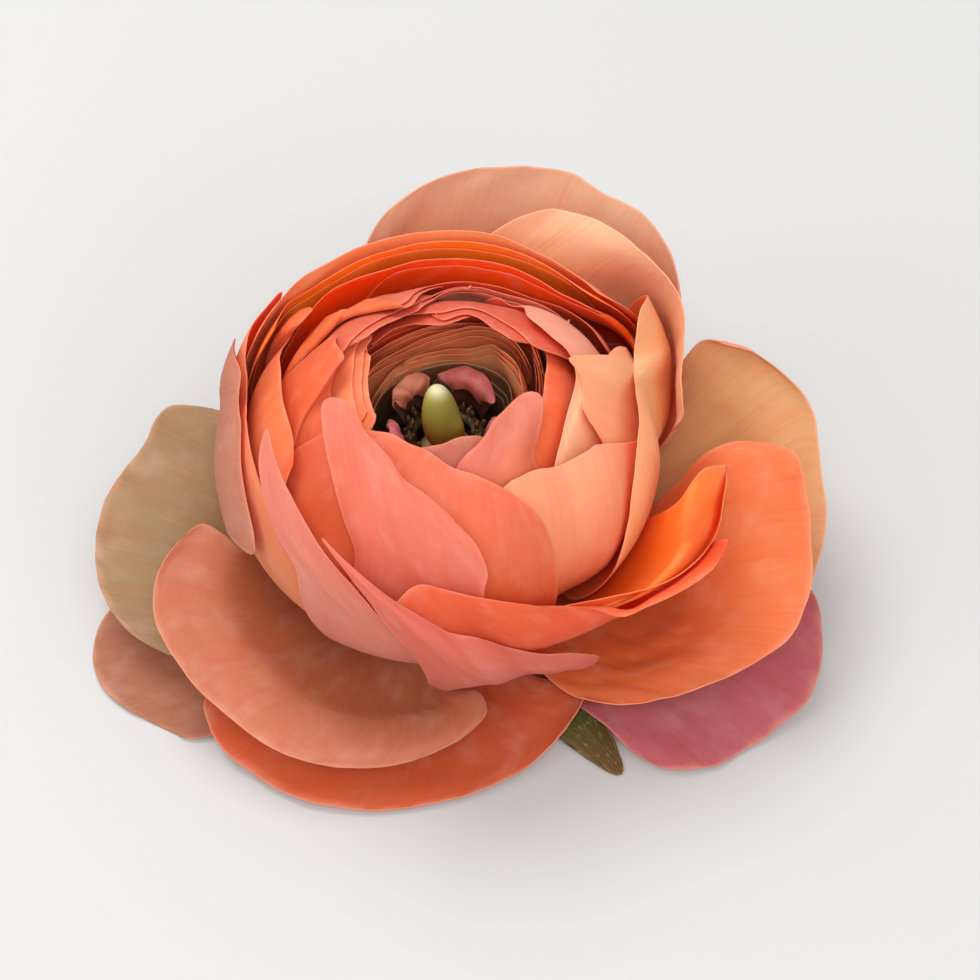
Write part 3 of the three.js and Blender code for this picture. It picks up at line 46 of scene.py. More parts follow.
# Petals, inside to outside. left, top and right are the sides of the outline as [azimuth, angle up from
# straight down] in degrees, both sides starting at the claw; reach is the distance of the sheet from
# (0, 0, zc), rows across the petal and columns from claw to margin.
PETALS = [
    {'key': 'W1', 'name': 'throat_petal_back_inner', 'slot': 'throat_tan', 'mid': 100, 'zc': 0, 'base': -4.5, 'claw': 1.5,
     'left': [[25.0,95.0]], 'top': [[21.28,130.17],[44.48,120.98],[57.89,125.94],[75.53,129.69],[95.76,130.62],[117.04,127.87],[134.38,122.51],[163.83,131.55]],
     'right': [[-170.0,95.0]],
     'reach': [[7.18,8.69,8.76,8.91,11.4],[7.18,9.31,10.13,10.49,12.06],[7.18,9.36,9.93,10.08,11.79],[7.18,9.47,10.09,10.12,11.27],[7.18,9.71,10.59,10.6,11.07],[7.18,9.94,10.47,10.44,11.83]]},
    {'key': 'W6', 'name': 'throat_petal_front_inner', 'slot': 'throat_tan', 'mid': -80, 'zc': 0, 'base': -5.5, 'claw': 1.5,
     'left': [[-160.0,90.0]], 'top': [[-150.0,122.0],[-125.0,128.0],[-100.0,130.0],[-75.0,130.0],[-45.0,128.0],[-20.0,124.0],[0.0,120.0]],
     'right': [[0.0,90.0]],
     'reach': [[7.85,9.48,10.17,10.42,11.54],[7.85,9.18,9.5,9.72,11.86],[7.85,8.84,8.83,8.87,11.4],[7.85,8.54,8.44,8.36,10.65],[7.85,8.31,8.41,8.44,9.88]]},
    {'key': 'W2', 'name': 'throat_petal_back_mid', 'slot': 'throat_tan', 'mid': 70, 'zc': 0, 'base': -6.5, 'claw': 1.5,
     'left': [[-10.0,95.0]], 'top': [[11.31,136.88],[31.0,134.54],[48.18,138.13],[75.1,121.56],[95.19,130.85],[113.86,128.79],[126.63,125.56]],
     'right': [[150.0,95.0]],
     'reach': [[8.58,9.51,9.14,10.2,13.55],[8.58,9.72,9.37,11.33,14.78],[8.58,10.05,10.83,12.63,14.6],[8.58,10.66,11.47,11.61,13.09],[8.58,10.51,10.98,11.1,12.58],[8.58,10.92,11.59,11.69,12.71]]},
    {'key': 'W7', 'name': 'throat_petal_front_mid', 'slot': 'throat_tan', 'mid': -130, 'zc': 0, 'base': -7.5, 'claw': 1.5,
     'left': [[155.0,90.0]], 'top': [[160.0,122.0],[-175.0,128.0],[-150.0,132.0],[-120.0,134.0],[-95.0,134.0],[-70.0,130.0]],
     'right': [[-60.0,90.0]],
     'reach': [[9.36,11.05,11.57,11.58,12.84],[9.36,10.87,11.57,11.97,13.32],[9.36,10.64,11.03,11.44,13.73],[9.36,10.41,10.36,10.59,14.17],[9.36,10.17,9.93,10.11,13.76],[9.36,9.95,9.63,9.74,12.66]]},
    {'key': 'W3', 'name': 'throat_petal_back_outer', 'slot': 'throat_tan', 'mid': 125, 'zc': 0, 'base': -8.5, 'claw': 1.5,
     'left': [[45.0,95.0]], 'top': [[26.86,137.21],[46.64,134.72],[68.76,137.88],[94.69,131.09],[116.34,128.52],[140.29,135.64],[165.48,139.52],[-174.58,139.9]],
     'right': [[-160.0,95.0]],
     'reach': [[10.18,11.92,12.6,13.44,16.16],[10.18,11.8,12.65,14.28,16.86],[10.18,11.82,11.71,12.55,14.98],[10.18,11.82,12.46,12.69,14.06],[10.18,12.2,13.01,13.72,15.05],[10.18,12.49,13.18,13.59,16.54]]},
    {'key': 'W4', 'name': 'throat_petal_back_rim', 'slot': 'throat_tan', 'mid': 90, 'zc': 0, 'base': -9.5, 'claw': 1.5,
     'left': [[10.0,95.0]], 'top': [[14.56,134.33],[29.61,135.92],[55.5,127.37],[73.11,130.03],[94.24,131.36],[115.64,128.93],[131.28,124.49],[154.47,135.72]],
     'right': [[175.0,95.0]],
     'reach': [[11.03,11.68,10.27,10.8,16.88],[11.03,12.15,13.0,14.33,18.23],[11.03,12.64,14.19,15.63,16.97],[11.03,12.64,13.33,14.01,15.91],[11.03,12.88,12.91,13.32,15.5],[11.03,13.21,13.58,14.18,15.34],[11.03,13.03,13.82,14.92,16.13]]},
    {'key': 'W5', 'name': 'throat_petal_left_rim', 'slot': 'throat_tan', 'mid': 120, 'zc': 0, 'base': -10.3, 'claw': 1.5,
     'left': [[60.0,95.0]], 'top': [[73.82,142.03],[94.14,135.45],[108.33,130.39],[119.61,128.24],[130.11,126.39],[146.73,134.87],[163.1,138.96]],
     'right': [[-175.0,95.0]],
     'reach': [[11.72,13.27,14.8,16.75,17.41,18.49],[11.72,13.42,14.15,14.85,15.64,17.39],[11.72,13.89,14.28,14.51,14.94,16.77],[11.72,14.02,14.58,15.06,15.36,16.71],[11.72,13.68,14.82,15.34,15.59,17.03],[11.72,13.45,14.49,15.71,16.66,17.3]]},
    {'key': 'H1', 'name': 'under_petal_right', 'slot': 'petal_coral', 'mid': -20, 'zc': 0, 'base': -10.5, 'claw': 1.5,
     'left': [[-80.0,70.0]], 'top': [[-85.0,108.0],[-55.0,116.0],[-20.0,118.0],[15.0,116.0],[45.0,108.0]],
     'right': [[40.0,70.0]],
     'reach': [[11.9,13.38,13.9,13.95,14.35],[11.9,13.49,13.95,13.93,14.82],[11.9,13.52,13.96,13.94,15.02],[11.9,13.53,13.97,13.92,14.97],[11.9,13.49,13.93,13.98,15.4],[11.9,13.37,13.81,14.31,16.64]]},
    {'key': 'H2', 'name': 'under_petal_left', 'slot': 'petal_coral', 'mid': 175, 'zc': 0, 'base': -11.5, 'claw': 1.5,
     'left': [[115.0,70.0]], 'top': [[110.0,108.0],[140.0,116.0],[175.0,118.0],[-150.0,116.0],[-120.0,108.0]],
     'right': [[-125.0,70.0]],
     'reach': [[12.79,14.73,15.44,15.27,15.61],[12.79,14.33,15.64,16.18,16.62],[12.79,14.24,15.71,16.14,16.9],[12.79,14.23,15.1,17.63,18.22],[12.79,14.31,14.51,16.02,16.63],[12.79,14.33,14.56,14.41,15.25],[12.79,14.24,14.62,14.49,14.82]]},
    {'key': 'F0', 'name': 'dome_petal_front_inner', 'slot': 'petal_coral', 'mid': -95, 'zc': 0, 'base': -12, 'claw': 1.5,
     'left': [[-140.0,85.0]], 'top': [[-148.4,139.0],[-138.11,140.69],[-127.78,141.88],[-111.21,142.18],[-94.63,144.72],[-81.77,147.3],[-71.51,147.04],[-58.55,143.99]],
     'right': [[-55.0,85.0]],
     'reach': [[13.24,14.83,16.35,17.3,17.36,17.36,17.44],[13.24,14.93,16.48,17.38,17.37,17.36,17.44],[13.24,15.01,16.61,17.52,17.48,17.44,17.48],[13.24,15.16,16.85,17.77,17.7,17.62,17.61],[13.24,15.32,17.14,18.09,17.99,17.85,17.76],[13.24,15.39,17.27,18.38,18.35,18.15,17.95]]},
    {'key': 'P5', 'name': 'dome_petal_right_inner', 'slot': 'petal_coral', 'mid': 10, 'zc': 0, 'base': -12.3, 'claw': 1.5,
     'left': [[-50.0,85.0]], 'top': [[-55.0,128.0],[-30.0,137.0],[0.0,139.0],[25.0,134.0],[48.0,128.0]],
     'right': [[62.0,85.0]],
     'reach': [[13.51,15.2,16.77,18.04,18.83,19.21,19.29,18.87],[13.51,15.38,17.11,18.51,19.22,19.14,18.8,18.34],[13.51,15.54,17.4,18.89,19.57,19.38,18.9,18.32],[13.51,15.64,17.59,19.15,19.85,19.67,19.14,18.49],[13.51,15.7,17.69,19.31,20.06,19.9,19.36,18.67],[13.51,15.7,17.68,19.32,20.17,20.08,19.58,18.9],[13.51,15.67,17.61,19.25,20.18,20.17,19.74,19.12],[13.51,15.63,17.51,19.11,20.08,20.16,19.83,19.29]]},
    {'key': 'P4', 'name': 'dome_petal_front_strip', 'slot': 'petal_coral', 'mid': -50, 'zc': 0, 'base': -12.8, 'claw': 1.5,
     'left': [[-95.0,80.0],[-90.0,115.0]], 'top': [[-84.0,138.0],[-64.14,144.87],[-54.46,148.35],[-44.78,149.53],[-21.95,148.64],[-9.24,142.94]],
     'right': [[-42.0,75.0],[-42.0,103.0],[-44.52,127.67],[-36.99,132.85],[-22.7,137.9]],
     'reach': [[13.97,15.77,17.09,18.37,18.96,18.78,18.5,18.1],[13.97,16.15,17.85,19.26,19.62,19.47,19.15,19.05],[13.97,16.15,18.11,19.4,19.44,19.58,19.37,18.6],[13.97,16.16,18.14,19.83,20.28,20.45,19.65,17.77],[13.97,16.41,18.59,20.23,20.01,19.64,19.39,19.72]]},
    {'key': 'B3', 'name': 'dome_petal_back_inner', 'slot': 'petal_coral', 'mid': 95, 'zc': 0, 'base': -13.2, 'claw': 1.5,
     'left': [[20.0,85.0]], 'top': [[18.17,143.33],[31.85,146.65],[50.78,146.12],[67.03,144.22],[80.6,144.98],[94.4,145.32],[107.05,141.82],[117.98,137.48],[126.51,135.18],[136.8,134.28],[148.03,135.05]],
     'right': [[165.0,85.0]],
     'reach': [[14.34,16.46,18.57,20.36,21.37,21.35,20.68,19.79],[14.34,16.54,18.87,20.78,21.71,21.56,20.75,19.77],[14.34,16.43,18.65,20.64,21.71,21.42,20.43,19.36],[14.34,16.27,18.31,20.24,21.4,21.03,19.95,19.27],[14.34,16.2,18.18,19.9,20.8,20.46,19.58,19.27],[14.34,16.2,18.17,19.83,20.63,20.27,19.33,18.51],[14.34,16.1,17.99,19.59,20.43,20.19,19.38,18.4],[14.34,15.96,17.72,19.23,20.15,20.1,19.48,18.59],[14.34,15.86,17.51,18.94,19.85,19.87,19.36,18.58],[14.34,15.82,17.43,18.8,19.63,19.6,19.09,18.37]]},
    {'key': 'B4', 'name': 'dome_petal_left_inner', 'slot': 'petal_coral', 'mid': 182, 'zc': 0, 'base': -13.4, 'claw': 1.5,
     'left': [[135.0,85.0]], 'top': [[141.53,142.1],[150.03,139.69],[161.94,139.81],[174.39,138.98],[-169.53,139.49],[-154.77,139.42],[-141.72,138.77]],
     'right': [[-138.0,82.0],[-146.0,108.0]],
     'reach': [[14.52,16.22,18.72,20.52,21.01,20.75,20.09,19.34],[14.52,16.0,18.38,20.58,21.24,20.75,20.26,18.89],[14.52,15.8,17.33,19.66,20.98,20.43,19.42,17.77],[14.52,15.76,17.21,18.46,19.0,18.87,18.54,17.58],[14.52,15.77,17.31,18.53,18.98,18.73,18.32,17.98],[14.52,15.8,17.43,18.78,19.32,19.04,18.69,18.55]]},
    {'key': 'H3', 'name': 'under_petal_front', 'slot': 'petal_coral', 'mid': -110, 'zc': 0, 'base': -13.6, 'claw': 1.5,
     'left': [[-165.0,70.0]], 'top': [[-170.0,102.0],[-140.0,112.0],[-110.0,115.0],[-80.0,112.0],[-55.0,102.0]],
     'right': [[-60.0,70.0]],
     'reach': [[14.71,15.96,18.36,19.06,19.68,19.77],[14.71,15.9,18.11,20.35,20.87,20.64],[14.71,16.07,17.3,19.5,20.54,18.98],[14.71,16.2,17.37,18.44,18.86,17.9],[14.71,16.2,17.91,19.91,20.85,19.83],[14.71,16.29,18.28,20.21,20.87,20.97],[14.71,16.31,18.37,19.99,20.92,20.99]]},
    {'key': 'P6a', 'name': 'dome_petal_right_pale', 'slot': 'petal_coral', 'mid': 40, 'zc': 0, 'base': -14, 'claw': 1.5,
     'left': [[-5.0,80.0],[-2.0,110.0]], 'top': [[4.29,126.27],[12.21,128.57],[18.71,132.3],[25.61,138.0],[43.3,139.48],[63.17,117.8],[67.52,121.8]],
     'right': [[80.0,80.0],[78.0,105.0]],
     'reach': [[15.08,17.02,19.01,20.78,21.95,22.16,21.48,20.24],[15.08,17.38,19.72,21.79,23.09,23.22,22.46,21.34],[15.08,17.63,20.24,22.44,23.62,23.43,22.42,21.36],[15.08,17.63,20.23,22.41,23.54,23.27,22.2,21.2],[15.08,17.41,19.73,21.66,22.88,22.87,22.0,21.05],[15.08,17.17,19.12,20.74,21.98,22.26,21.64,20.89],[15.08,17.26,19.02,20.6,21.75,22.01,21.58,21.21]]},
    {'key': 'B2', 'name': 'dome_petal_back_mid', 'slot': 'petal_coral', 'mid': 110, 'zc': 0, 'base': -14.4, 'claw': 1.5,
     'left': [[35.0,80.0]], 'top': [[48.1,106.08],[56.19,108.86],[63.94,109.19],[71.15,109.96],[77.58,114.2],[93.19,124.76],[106.17,139.24],[117.65,139.74],[133.0,142.35],[146.34,142.54],[157.01,140.21],[165.15,138.33]],
     'right': [[175.0,80.0]],
     'reach': [[15.45,17.1,19.41,21.1,22.67,24.53,24.91,23.77],[15.45,16.99,19.16,21.09,22.59,24.09,24.24,23.33],[15.45,16.84,18.4,20.47,22.8,23.45,23.47,22.71],[15.45,16.84,18.31,19.92,22.38,23.08,22.73,21.54],[15.45,16.96,18.59,20.09,21.39,21.79,21.13,20.07],[15.45,17.14,18.98,20.64,21.69,21.74,20.85,19.77],[15.45,17.02,18.81,20.91,21.89,21.82,20.67,19.49],[15.45,17.04,19.14,21.59,22.29,22.15,21.03,20.01],[15.45,17.03,19.36,21.29,22.3,21.76,20.98,20.33],[15.45,16.96,19.01,20.39,21.81,21.42,20.71,20.13]]},
    {'key': 'B1', 'name': 'dome_petal_back_outer', 'slot': 'petal_coral', 'mid': 97, 'zc': 0, 'base': -15.36, 'claw': 1.5,
     'left': [[15.0,80.0],[22.0,98.0]], 'top': [[28.39,114.85],[36.23,110.95],[44.07,109.22],[50.24,108.44],[61.61,106.26],[71.88,109.29],[78.63,111.86],[85.37,116.9],[97.16,122.28],[110.96,141.51],[121.61,143.32],[128.65,125.34],[139.29,123.55],[139.62,102.04],[147.99,102.29]],
     'right': [[178.0,80.0],[172.0,105.0]],
     'reach': [[16.35,17.96,19.76,21.57,23.14,24.17,24.34,24.33],[16.35,18.09,20.38,22.44,24.04,26.06,26.08,24.69],[16.35,18.2,20.46,22.18,23.61,25.09,25.05,24.34],[16.35,17.99,20.0,21.91,23.94,24.55,24.31,23.79],[16.35,17.91,19.71,21.74,23.82,23.91,23.15,22.59],[16.35,18.01,19.86,21.64,22.93,22.78,21.98,21.4],[16.35,18.41,20.64,22.46,23.28,22.69,21.33,20.83],[16.35,18.7,21.19,23.04,23.59,22.6,20.96,20.59],[16.35,18.37,20.57,22.39,23.22,22.97,21.65,21.11],[16.35,18.0,19.94,22.17,23.14,22.94,22.01,22.02],[16.35,17.9,19.84,22.29,23.54,23.07,22.01,22.54],[16.35,17.72,19.65,21.54,22.92,23.02,22.64,23.36],[16.35,17.67,19.48,20.99,22.43,23.03,22.59,23.23]]},
    {'key': 'P6b', 'name': 'dome_petal_right_bright', 'slot': 'petal_coral', 'mid': 0, 'zc': 0, 'base': -15.2, 'claw': 1.5,
     'left': [[-55.0,80.0]], 'top': [[-50.0,112.0],[-38.17,123.24],[-20.08,128.78],[-6.36,129.64],[2.07,129.53],[10.75,130.58],[19.04,129.92]],
     'right': [[40.0,78.0],[30.0,94.0],[7.38,125.32],[14.06,128.34]],
     'reach': [[16.2,17.47,18.75,19.96,21.02,21.79,22.14,21.97,21.29],[16.2,17.67,19.11,20.45,21.51,22.06,22.14,21.56,20.73],[16.2,17.82,19.41,20.85,21.87,22.15,21.97,21.1,20.28],[16.2,17.92,19.63,21.3,22.8,22.64,21.9,20.79,20.03],[16.2,18.01,19.8,21.77,24.9,24.58,22.58,21.11,20.24],[16.2,18.14,20.06,23.12,26.81,25.81,23.58,22.02,21.22],[16.2,18.29,20.82,24.32,27.62,26.87,24.76,22.57,22.3]]},
    {'key': 'P7', 'name': 'dome_petal_right_outer', 'slot': 'petal_coral', 'mid': 15, 'zc': 0, 'base': -16.01, 'claw': 1.5,
     'left': [[-35.0,75.0]], 'top': [[-28.0,100.0],[-14.66,113.71],[-4.15,116.25],[3.51,119.06],[10.6,123.81],[18.05,126.14]],
     'right': [[48.0,74.0],[40.0,90.0],[31.07,99.56]],
     'reach': [[16.96,18.33,19.76,21.16,22.38,23.34,23.85,23.71],[16.96,18.49,20.07,21.57,22.73,23.77,24.13,23.41],[16.96,18.63,20.34,21.95,23.26,24.22,24.2,22.93],[16.96,18.73,20.44,22.42,25.25,25.43,24.3,22.68],[16.96,19.16,20.89,23.53,27.11,26.54,24.62,23.04],[16.96,19.37,22.0,25.62,28.92,27.46,25.27,23.4],[16.96,18.99,21.65,25.99,29.29,28.01,25.72,23.4]]},
    {'key': 'P0', 'name': 'dome_petal_left_rim', 'slot': 'petal_coral', 'mid': -163, 'zc': 0, 'base': -14.8, 'claw': 1.5,
     'left': [[165.0,74.0],[168.0,92.0],[172.94,106.39],[164.01,112.34],[158.69,121.72],[153.39,128.21]], 'top': [[149.92,132.26],[170.21,142.58],[172.53,136.62],[178.41,131.26],[-169.7,130.21],[-156.51,128.72]],
     'right': [[-108.0,76.0],[-116.0,96.0],[-137.69,122.45]],
     'reach': [[15.82,17.29,19.74,23.9,24.93,24.1,22.19,21.29],[15.82,17.78,20.04,22.96,24.14,22.45,21.31,21.45],[15.82,17.78,20.17,21.73,22.12,22.27,20.65,19.9],[15.82,17.3,19.25,20.66,21.39,22.18,20.24,18.56],[15.82,17.1,18.86,20.63,21.58,20.99,19.97,19.22]]},
    {'key': 'P3', 'name': 'dome_petal_front_right', 'slot': 'petal_coral', 'mid': -45, 'zc': 0, 'base': -15.6, 'claw': 1.5,
     'left': [[-88.0,75.0]], 'top': [[-88.0,116.0],[-65.09,126.44],[-56.96,127.9],[-49.45,127.4],[-39.97,123.87],[-28.28,121.81],[-22.33,119.55],[-1.0,98.99]],
     'right': [[-18.0,60.0],[-14.0,83.0],[-8.0,93.0]],
     'reach': [[16.57,17.91,19.41,20.94,22.22,22.89,22.46,20.98],[16.57,18.22,20.02,21.78,23.11,23.51,22.53,20.83],[16.57,18.52,20.6,22.59,23.98,24.16,22.88,21.17],[16.57,18.51,20.52,22.51,24.01,24.4,23.36,21.77],[16.57,18.72,20.94,23.28,24.96,25.73,25.19,24.02],[16.57,18.54,20.82,23.16,24.1,25.15,25.34,24.85],[16.57,18.51,21.03,23.04,23.41,24.83,25.69,25.76]]},
    {'key': 'P2', 'name': 'dome_petal_front_broad', 'slot': 'petal_coral', 'mid': -100, 'zc': 0, 'base': -16, 'claw': 1.5,
     'left': [[-165.0,75.0],[-160.0,112.0]], 'top': [[-151.59,140.0],[-140.85,139.69],[-127.32,143.47],[-112.68,142.98],[-99.06,141.65],[-85.58,136.07],[-74.42,132.57],[-65.8,127.09],[-60.17,120.57],[-56.95,115.4]],
     'right': [[-60.0,62.0],[-57.49,92.1],[-56.44,105.21]],
     'reach': [[16.95,18.21,19.93,22.05,24.13,24.94,23.34,20.94,19.48],[16.95,18.22,19.95,22.03,24.01,24.72,23.1,20.76,19.22],[16.95,18.25,20.02,22.1,23.95,24.31,22.33,19.86,18.15],[16.95,18.29,20.07,22.16,23.99,24.38,22.41,19.8,18.2],[16.95,18.3,20.07,22.15,23.98,24.48,22.68,20.05,18.25],[16.95,18.31,20.05,22.1,24.03,24.88,23.67,21.38,19.27],[16.95,18.42,20.25,22.4,24.48,25.67,25.02,23.06,20.96],[16.95,18.4,20.17,22.19,24.28,25.77,25.82,24.23,22.28],[16.95,18.32,19.94,21.65,23.55,25.17,25.81,25.04,23.51]]},
    {'key': 'P1', 'name': 'dome_petal_front_left', 'slot': 'petal_coral', 'mid': -118, 'zc': 0, 'base': -16.99, 'claw': 1.5,
     'left': [[-128.0,58.0],[-119.0,85.0],[-117.31,103.55],[-124.91,112.74],[-138.7,123.21],[-153.04,129.72]], 'top': [[-169.2,133.79],[-164.42,137.98],[-158.88,141.08],[-149.56,141.54],[-139.7,139.67],[-129.9,138.54],[-118.77,136.02],[-108.8,130.97],[-98.37,127.78],[-90.47,123.56],[-83.94,118.58]],
     'right': [[-86.0,58.0],[-80.0,83.0],[-79.28,99.16],[-77.55,105.4],[-79.55,112.62]],
     'reach': [[17.89,19.17,20.89,23.0,25.01,25.61,24.08,22.61,22.01,21.52],[17.89,19.17,21.02,23.22,25.14,25.68,24.0,22.26,21.26,20.44],[17.89,19.0,20.72,22.83,24.72,25.85,24.75,22.79,21.25,19.91],[17.89,18.9,20.43,22.39,24.45,26.05,26.01,24.51,22.74,20.89],[17.89,18.83,20.1,21.87,23.75,25.39,26.45,26.47,25.14,23.05]]},
    {'key': 'T3', 'name': 'cup_petal_back_inner', 'slot': 'petal_coral', 'mid': 88, 'zc': 0, 'base': -16.8, 'claw': 1.5,
     'left': [[18.0,60.0],[20.0,85.0]], 'top': [[35.61,98.67],[39.52,106.3],[45.22,113.29],[60.17,113.41],[73.78,112.74],[84.72,112.87],[92.73,112.88],[101.72,112.73],[110.79,112.48],[121.36,111.08],[128.35,110.08]],
     'right': [[155.0,60.0],[150.0,88.0]],
     'reach': [[17.71,18.85,20.53,22.7,24.25,27.13,28.56,29.24],[17.71,18.84,20.59,23.51,26.17,28.72,29.14,28.08],[17.71,18.91,20.65,24.12,28.14,30.49,28.73,26.33],[17.71,19.01,21.13,23.6,28.66,31.57,26.83,25.53],[17.71,19.04,21.12,22.68,25.3,26.86,25.59,25.89],[17.71,19.01,20.64,22.38,24.38,25.37,25.54,26.38],[17.71,19.02,20.57,22.4,24.44,25.48,25.73,26.52],[17.71,19.02,20.59,22.43,24.43,25.56,25.8,26.44],[17.71,19.02,20.6,22.44,24.46,25.61,25.86,26.4],[17.71,18.99,20.53,22.34,24.34,25.47,25.71,26.14],[17.71,19.0,20.55,22.37,24.41,25.63,25.96,26.37],[17.71,19.03,20.59,22.42,24.52,25.86,26.31,26.69]]},
    {'key': 'L4', 'name': 'cup_petal_left_inner', 'slot': 'petal_coral', 'mid': 178, 'zc': 0, 'base': -17, 'claw': 1.5,
     'left': [[135.0,60.0],[138.0,90.0]], 'top': [[137.08,115.73],[147.37,119.0],[148.13,108.51],[157.99,112.68],[169.81,117.76],[-171.39,121.05],[-161.13,121.38],[-153.38,119.58]],
     'right': [[-135.0,58.0],[-138.0,90.0],[-148.69,112.08],[-149.94,116.79]],
     'reach': [[17.9,19.41,22.0,23.88,25.43,26.8,27.84,25.1],[17.9,19.54,22.39,24.55,26.3,27.37,26.97,24.96],[17.9,19.17,20.86,23.44,26.18,26.56,26.36,25.1],[17.9,19.25,20.91,23.2,25.65,26.35,26.1,24.71],[17.9,19.32,21.09,23.21,25.28,26.22,25.54,23.78],[17.9,19.36,21.22,23.41,25.45,26.26,25.34,23.43],[17.9,19.4,21.31,23.59,25.65,26.34,25.26,23.31],[17.9,19.36,21.22,23.48,25.57,26.33,25.38,23.52]]},
    {'key': 'T2', 'name': 'cup_petal_back_mid', 'slot': 'petal_coral', 'mid': 100, 'zc': 0, 'base': -17.51, 'claw': 1.5,
     'left': [[35.0,60.0],[35.0,88.0]], 'top': [[39.0,114.62],[48.25,113.48],[59.59,112.73],[75.21,112.23],[83.81,112.25],[92.51,112.26],[106.22,111.99],[114.39,111.82],[124.79,107.91],[135.25,105.79],[154.79,115.19]],
     'right': [[168.0,60.0],[165.0,88.0]],
     'reach': [[18.38,19.61,21.5,24.79,29.08,32.49,30.44,27.57],[18.38,19.68,21.5,24.42,30.01,33.16,29.85,27.53],[18.38,19.78,21.59,23.9,27.98,29.05,28.41,28.26],[18.38,19.83,21.54,23.55,25.99,27.6,28.3,28.78],[18.38,19.87,21.61,23.62,25.92,27.77,28.59,29.04],[18.38,19.87,21.63,23.67,26.07,27.97,28.68,29.02],[18.38,19.84,21.55,23.56,25.97,27.85,28.5,28.75],[18.38,19.78,21.42,23.48,25.83,27.62,28.27,28.55],[18.38,19.75,21.28,23.81,25.99,27.36,28.24,28.72],[18.38,19.94,21.86,24.13,26.34,27.79,28.64,28.95],[18.38,19.77,22.53,24.58,26.86,28.17,28.36,27.83],[18.38,19.9,22.73,24.57,26.29,27.3,27.24,26.92]]},
    {'key': 'T1', 'name': 'cup_petal_back_outer', 'slot': 'petal_coral', 'mid': 105, 'zc': 0, 'base': -18.8, 'claw': 1.5,
     'left': [[33.0,60.0],[35.0,88.0]], 'top': [[38.67,114.43],[43.55,112.3],[50.16,113.8],[63.85,112.61],[75.8,112.98],[84.09,112.78],[92.4,111.99],[105.19,110.97],[115.83,110.17],[128.17,109.8],[139.97,109.72],[152.93,112.69]],
     'right': [[172.0,60.0],[165.0,88.0]],
     'reach': [[19.62,20.67,21.99,24.18,27.71,31.86,33.72,31.32,28.42],[19.62,20.74,21.99,23.86,28.14,33.51,35.06,30.86,28.51],[19.62,20.8,22.12,23.84,27.25,31.29,32.17,29.9,28.91],[19.62,20.85,22.24,23.88,26.17,28.58,29.35,29.39,29.53],[19.62,20.93,22.45,24.16,26.07,28.01,29.16,29.8,30.26],[19.62,20.96,22.5,24.25,26.19,28.18,29.42,30.03,30.48],[19.62,20.96,22.49,24.23,26.21,28.26,29.53,30.12,30.53],[19.62,20.96,22.48,24.21,26.2,28.29,29.59,30.2,30.61],[19.62,20.93,22.41,24.13,26.1,28.14,29.43,30.05,30.47],[19.62,20.85,22.37,24.21,26.2,28.08,29.2,29.76,30.17],[19.62,20.79,22.66,24.61,26.66,28.46,29.33,29.67,30.0],[19.62,20.82,22.99,24.82,26.78,28.62,29.29,29.21,29.25],[19.62,21.04,23.32,24.97,26.59,27.96,28.46,28.6,28.66]]},
    {'key': 'L2', 'name': 'cup_petal_left_mid', 'slot': 'petal_coral', 'mid': 180, 'zc': 0, 'base': -17.8, 'claw': 1.5,
     'left': [[135.0,60.0],[138.0,88.0]], 'top': [[137.04,109.61],[144.7,109.18],[155.4,109.46],[165.0,108.38],[177.92,110.68],[-171.73,111.89],[-161.9,111.54],[-153.82,110.48]],
     'right': [[-110.0,55.0],[-118.0,80.0],[-133.0,102.0]],
     'reach': [[18.66,21.04,25.3,26.22,27.48,29.24,30.22,30.5,30.42],[18.66,20.04,24.52,27.4,28.12,29.62,30.43,30.22,30.08],[18.66,19.74,23.11,27.2,28.74,29.73,30.13,30.07,29.9],[18.66,19.67,21.27,25.04,28.68,29.5,29.05,29.08,28.82],[18.66,19.74,21.0,22.85,25.41,27.56,27.9,27.7,27.27],[18.66,19.8,21.16,22.77,24.94,26.98,27.86,27.52,26.84],[18.66,19.82,21.25,22.97,25.2,27.21,28.01,27.57,26.83],[18.66,19.88,21.32,23.08,25.41,27.44,28.16,27.68,26.97],[18.66,19.92,21.32,23.07,25.47,27.56,28.3,27.82,27.17],[18.66,19.83,21.25,23.01,25.45,27.59,28.4,27.95,27.35]]},
    {'key': 'RO1', 'name': 'cup_petal_right_side', 'slot': 'petal_coral', 'mid': 5, 'zc': 0, 'base': -17.9, 'claw': 1.5,
     'left': [[-42.0,58.0],[-38.0,82.0]], 'top': [[-32.89,97.02],[-21.66,108.45],[-12.05,114.02],[1.7,115.31],[20.87,104.93],[27.61,106.46],[32.37,108.8]],
     'right': [[52.0,58.0],[49.0,84.0],[41.0,98.0]],
     'reach': [[18.76,19.77,21.07,22.59,24.37,26.01,26.85,26.75],[18.76,19.88,21.82,23.81,24.96,26.42,26.88,26.57],[18.76,20.03,21.95,24.16,25.51,26.87,26.98,26.6],[18.76,20.2,22.01,23.96,25.93,27.1,27.03,26.81],[18.76,20.1,21.67,24.15,27.43,27.57,26.43,26.18],[18.76,19.74,21.21,26.27,32.6,31.86,27.89,25.88],[18.76,19.48,21.68,28.28,33.89,36.45,33.39,26.71],[18.76,20.06,24.31,28.67,32.36,36.39,35.61,30.68]]},
    {'key': 'R2', 'name': 'cup_petal_right_inner', 'slot': 'petal_coral', 'mid': -28, 'zc': 0, 'base': -18.72, 'claw': 1.5,
     'left': [[-78.0,55.0],[-76.0,80.0]], 'top': [[-78.0,91.08],[-62.0,90.41],[-48.0,89.06],[-28.86,88.4],[-21.03,89.57],[-17.72,95.47],[-13.8,97.54]],
     'right': [[-16.0,45.86],[-14.0,62.45],[-13.7,74.93],[-18.87,88.3],[-20.2,101.12],[-14.81,102.93],[-5.15,92.11]],
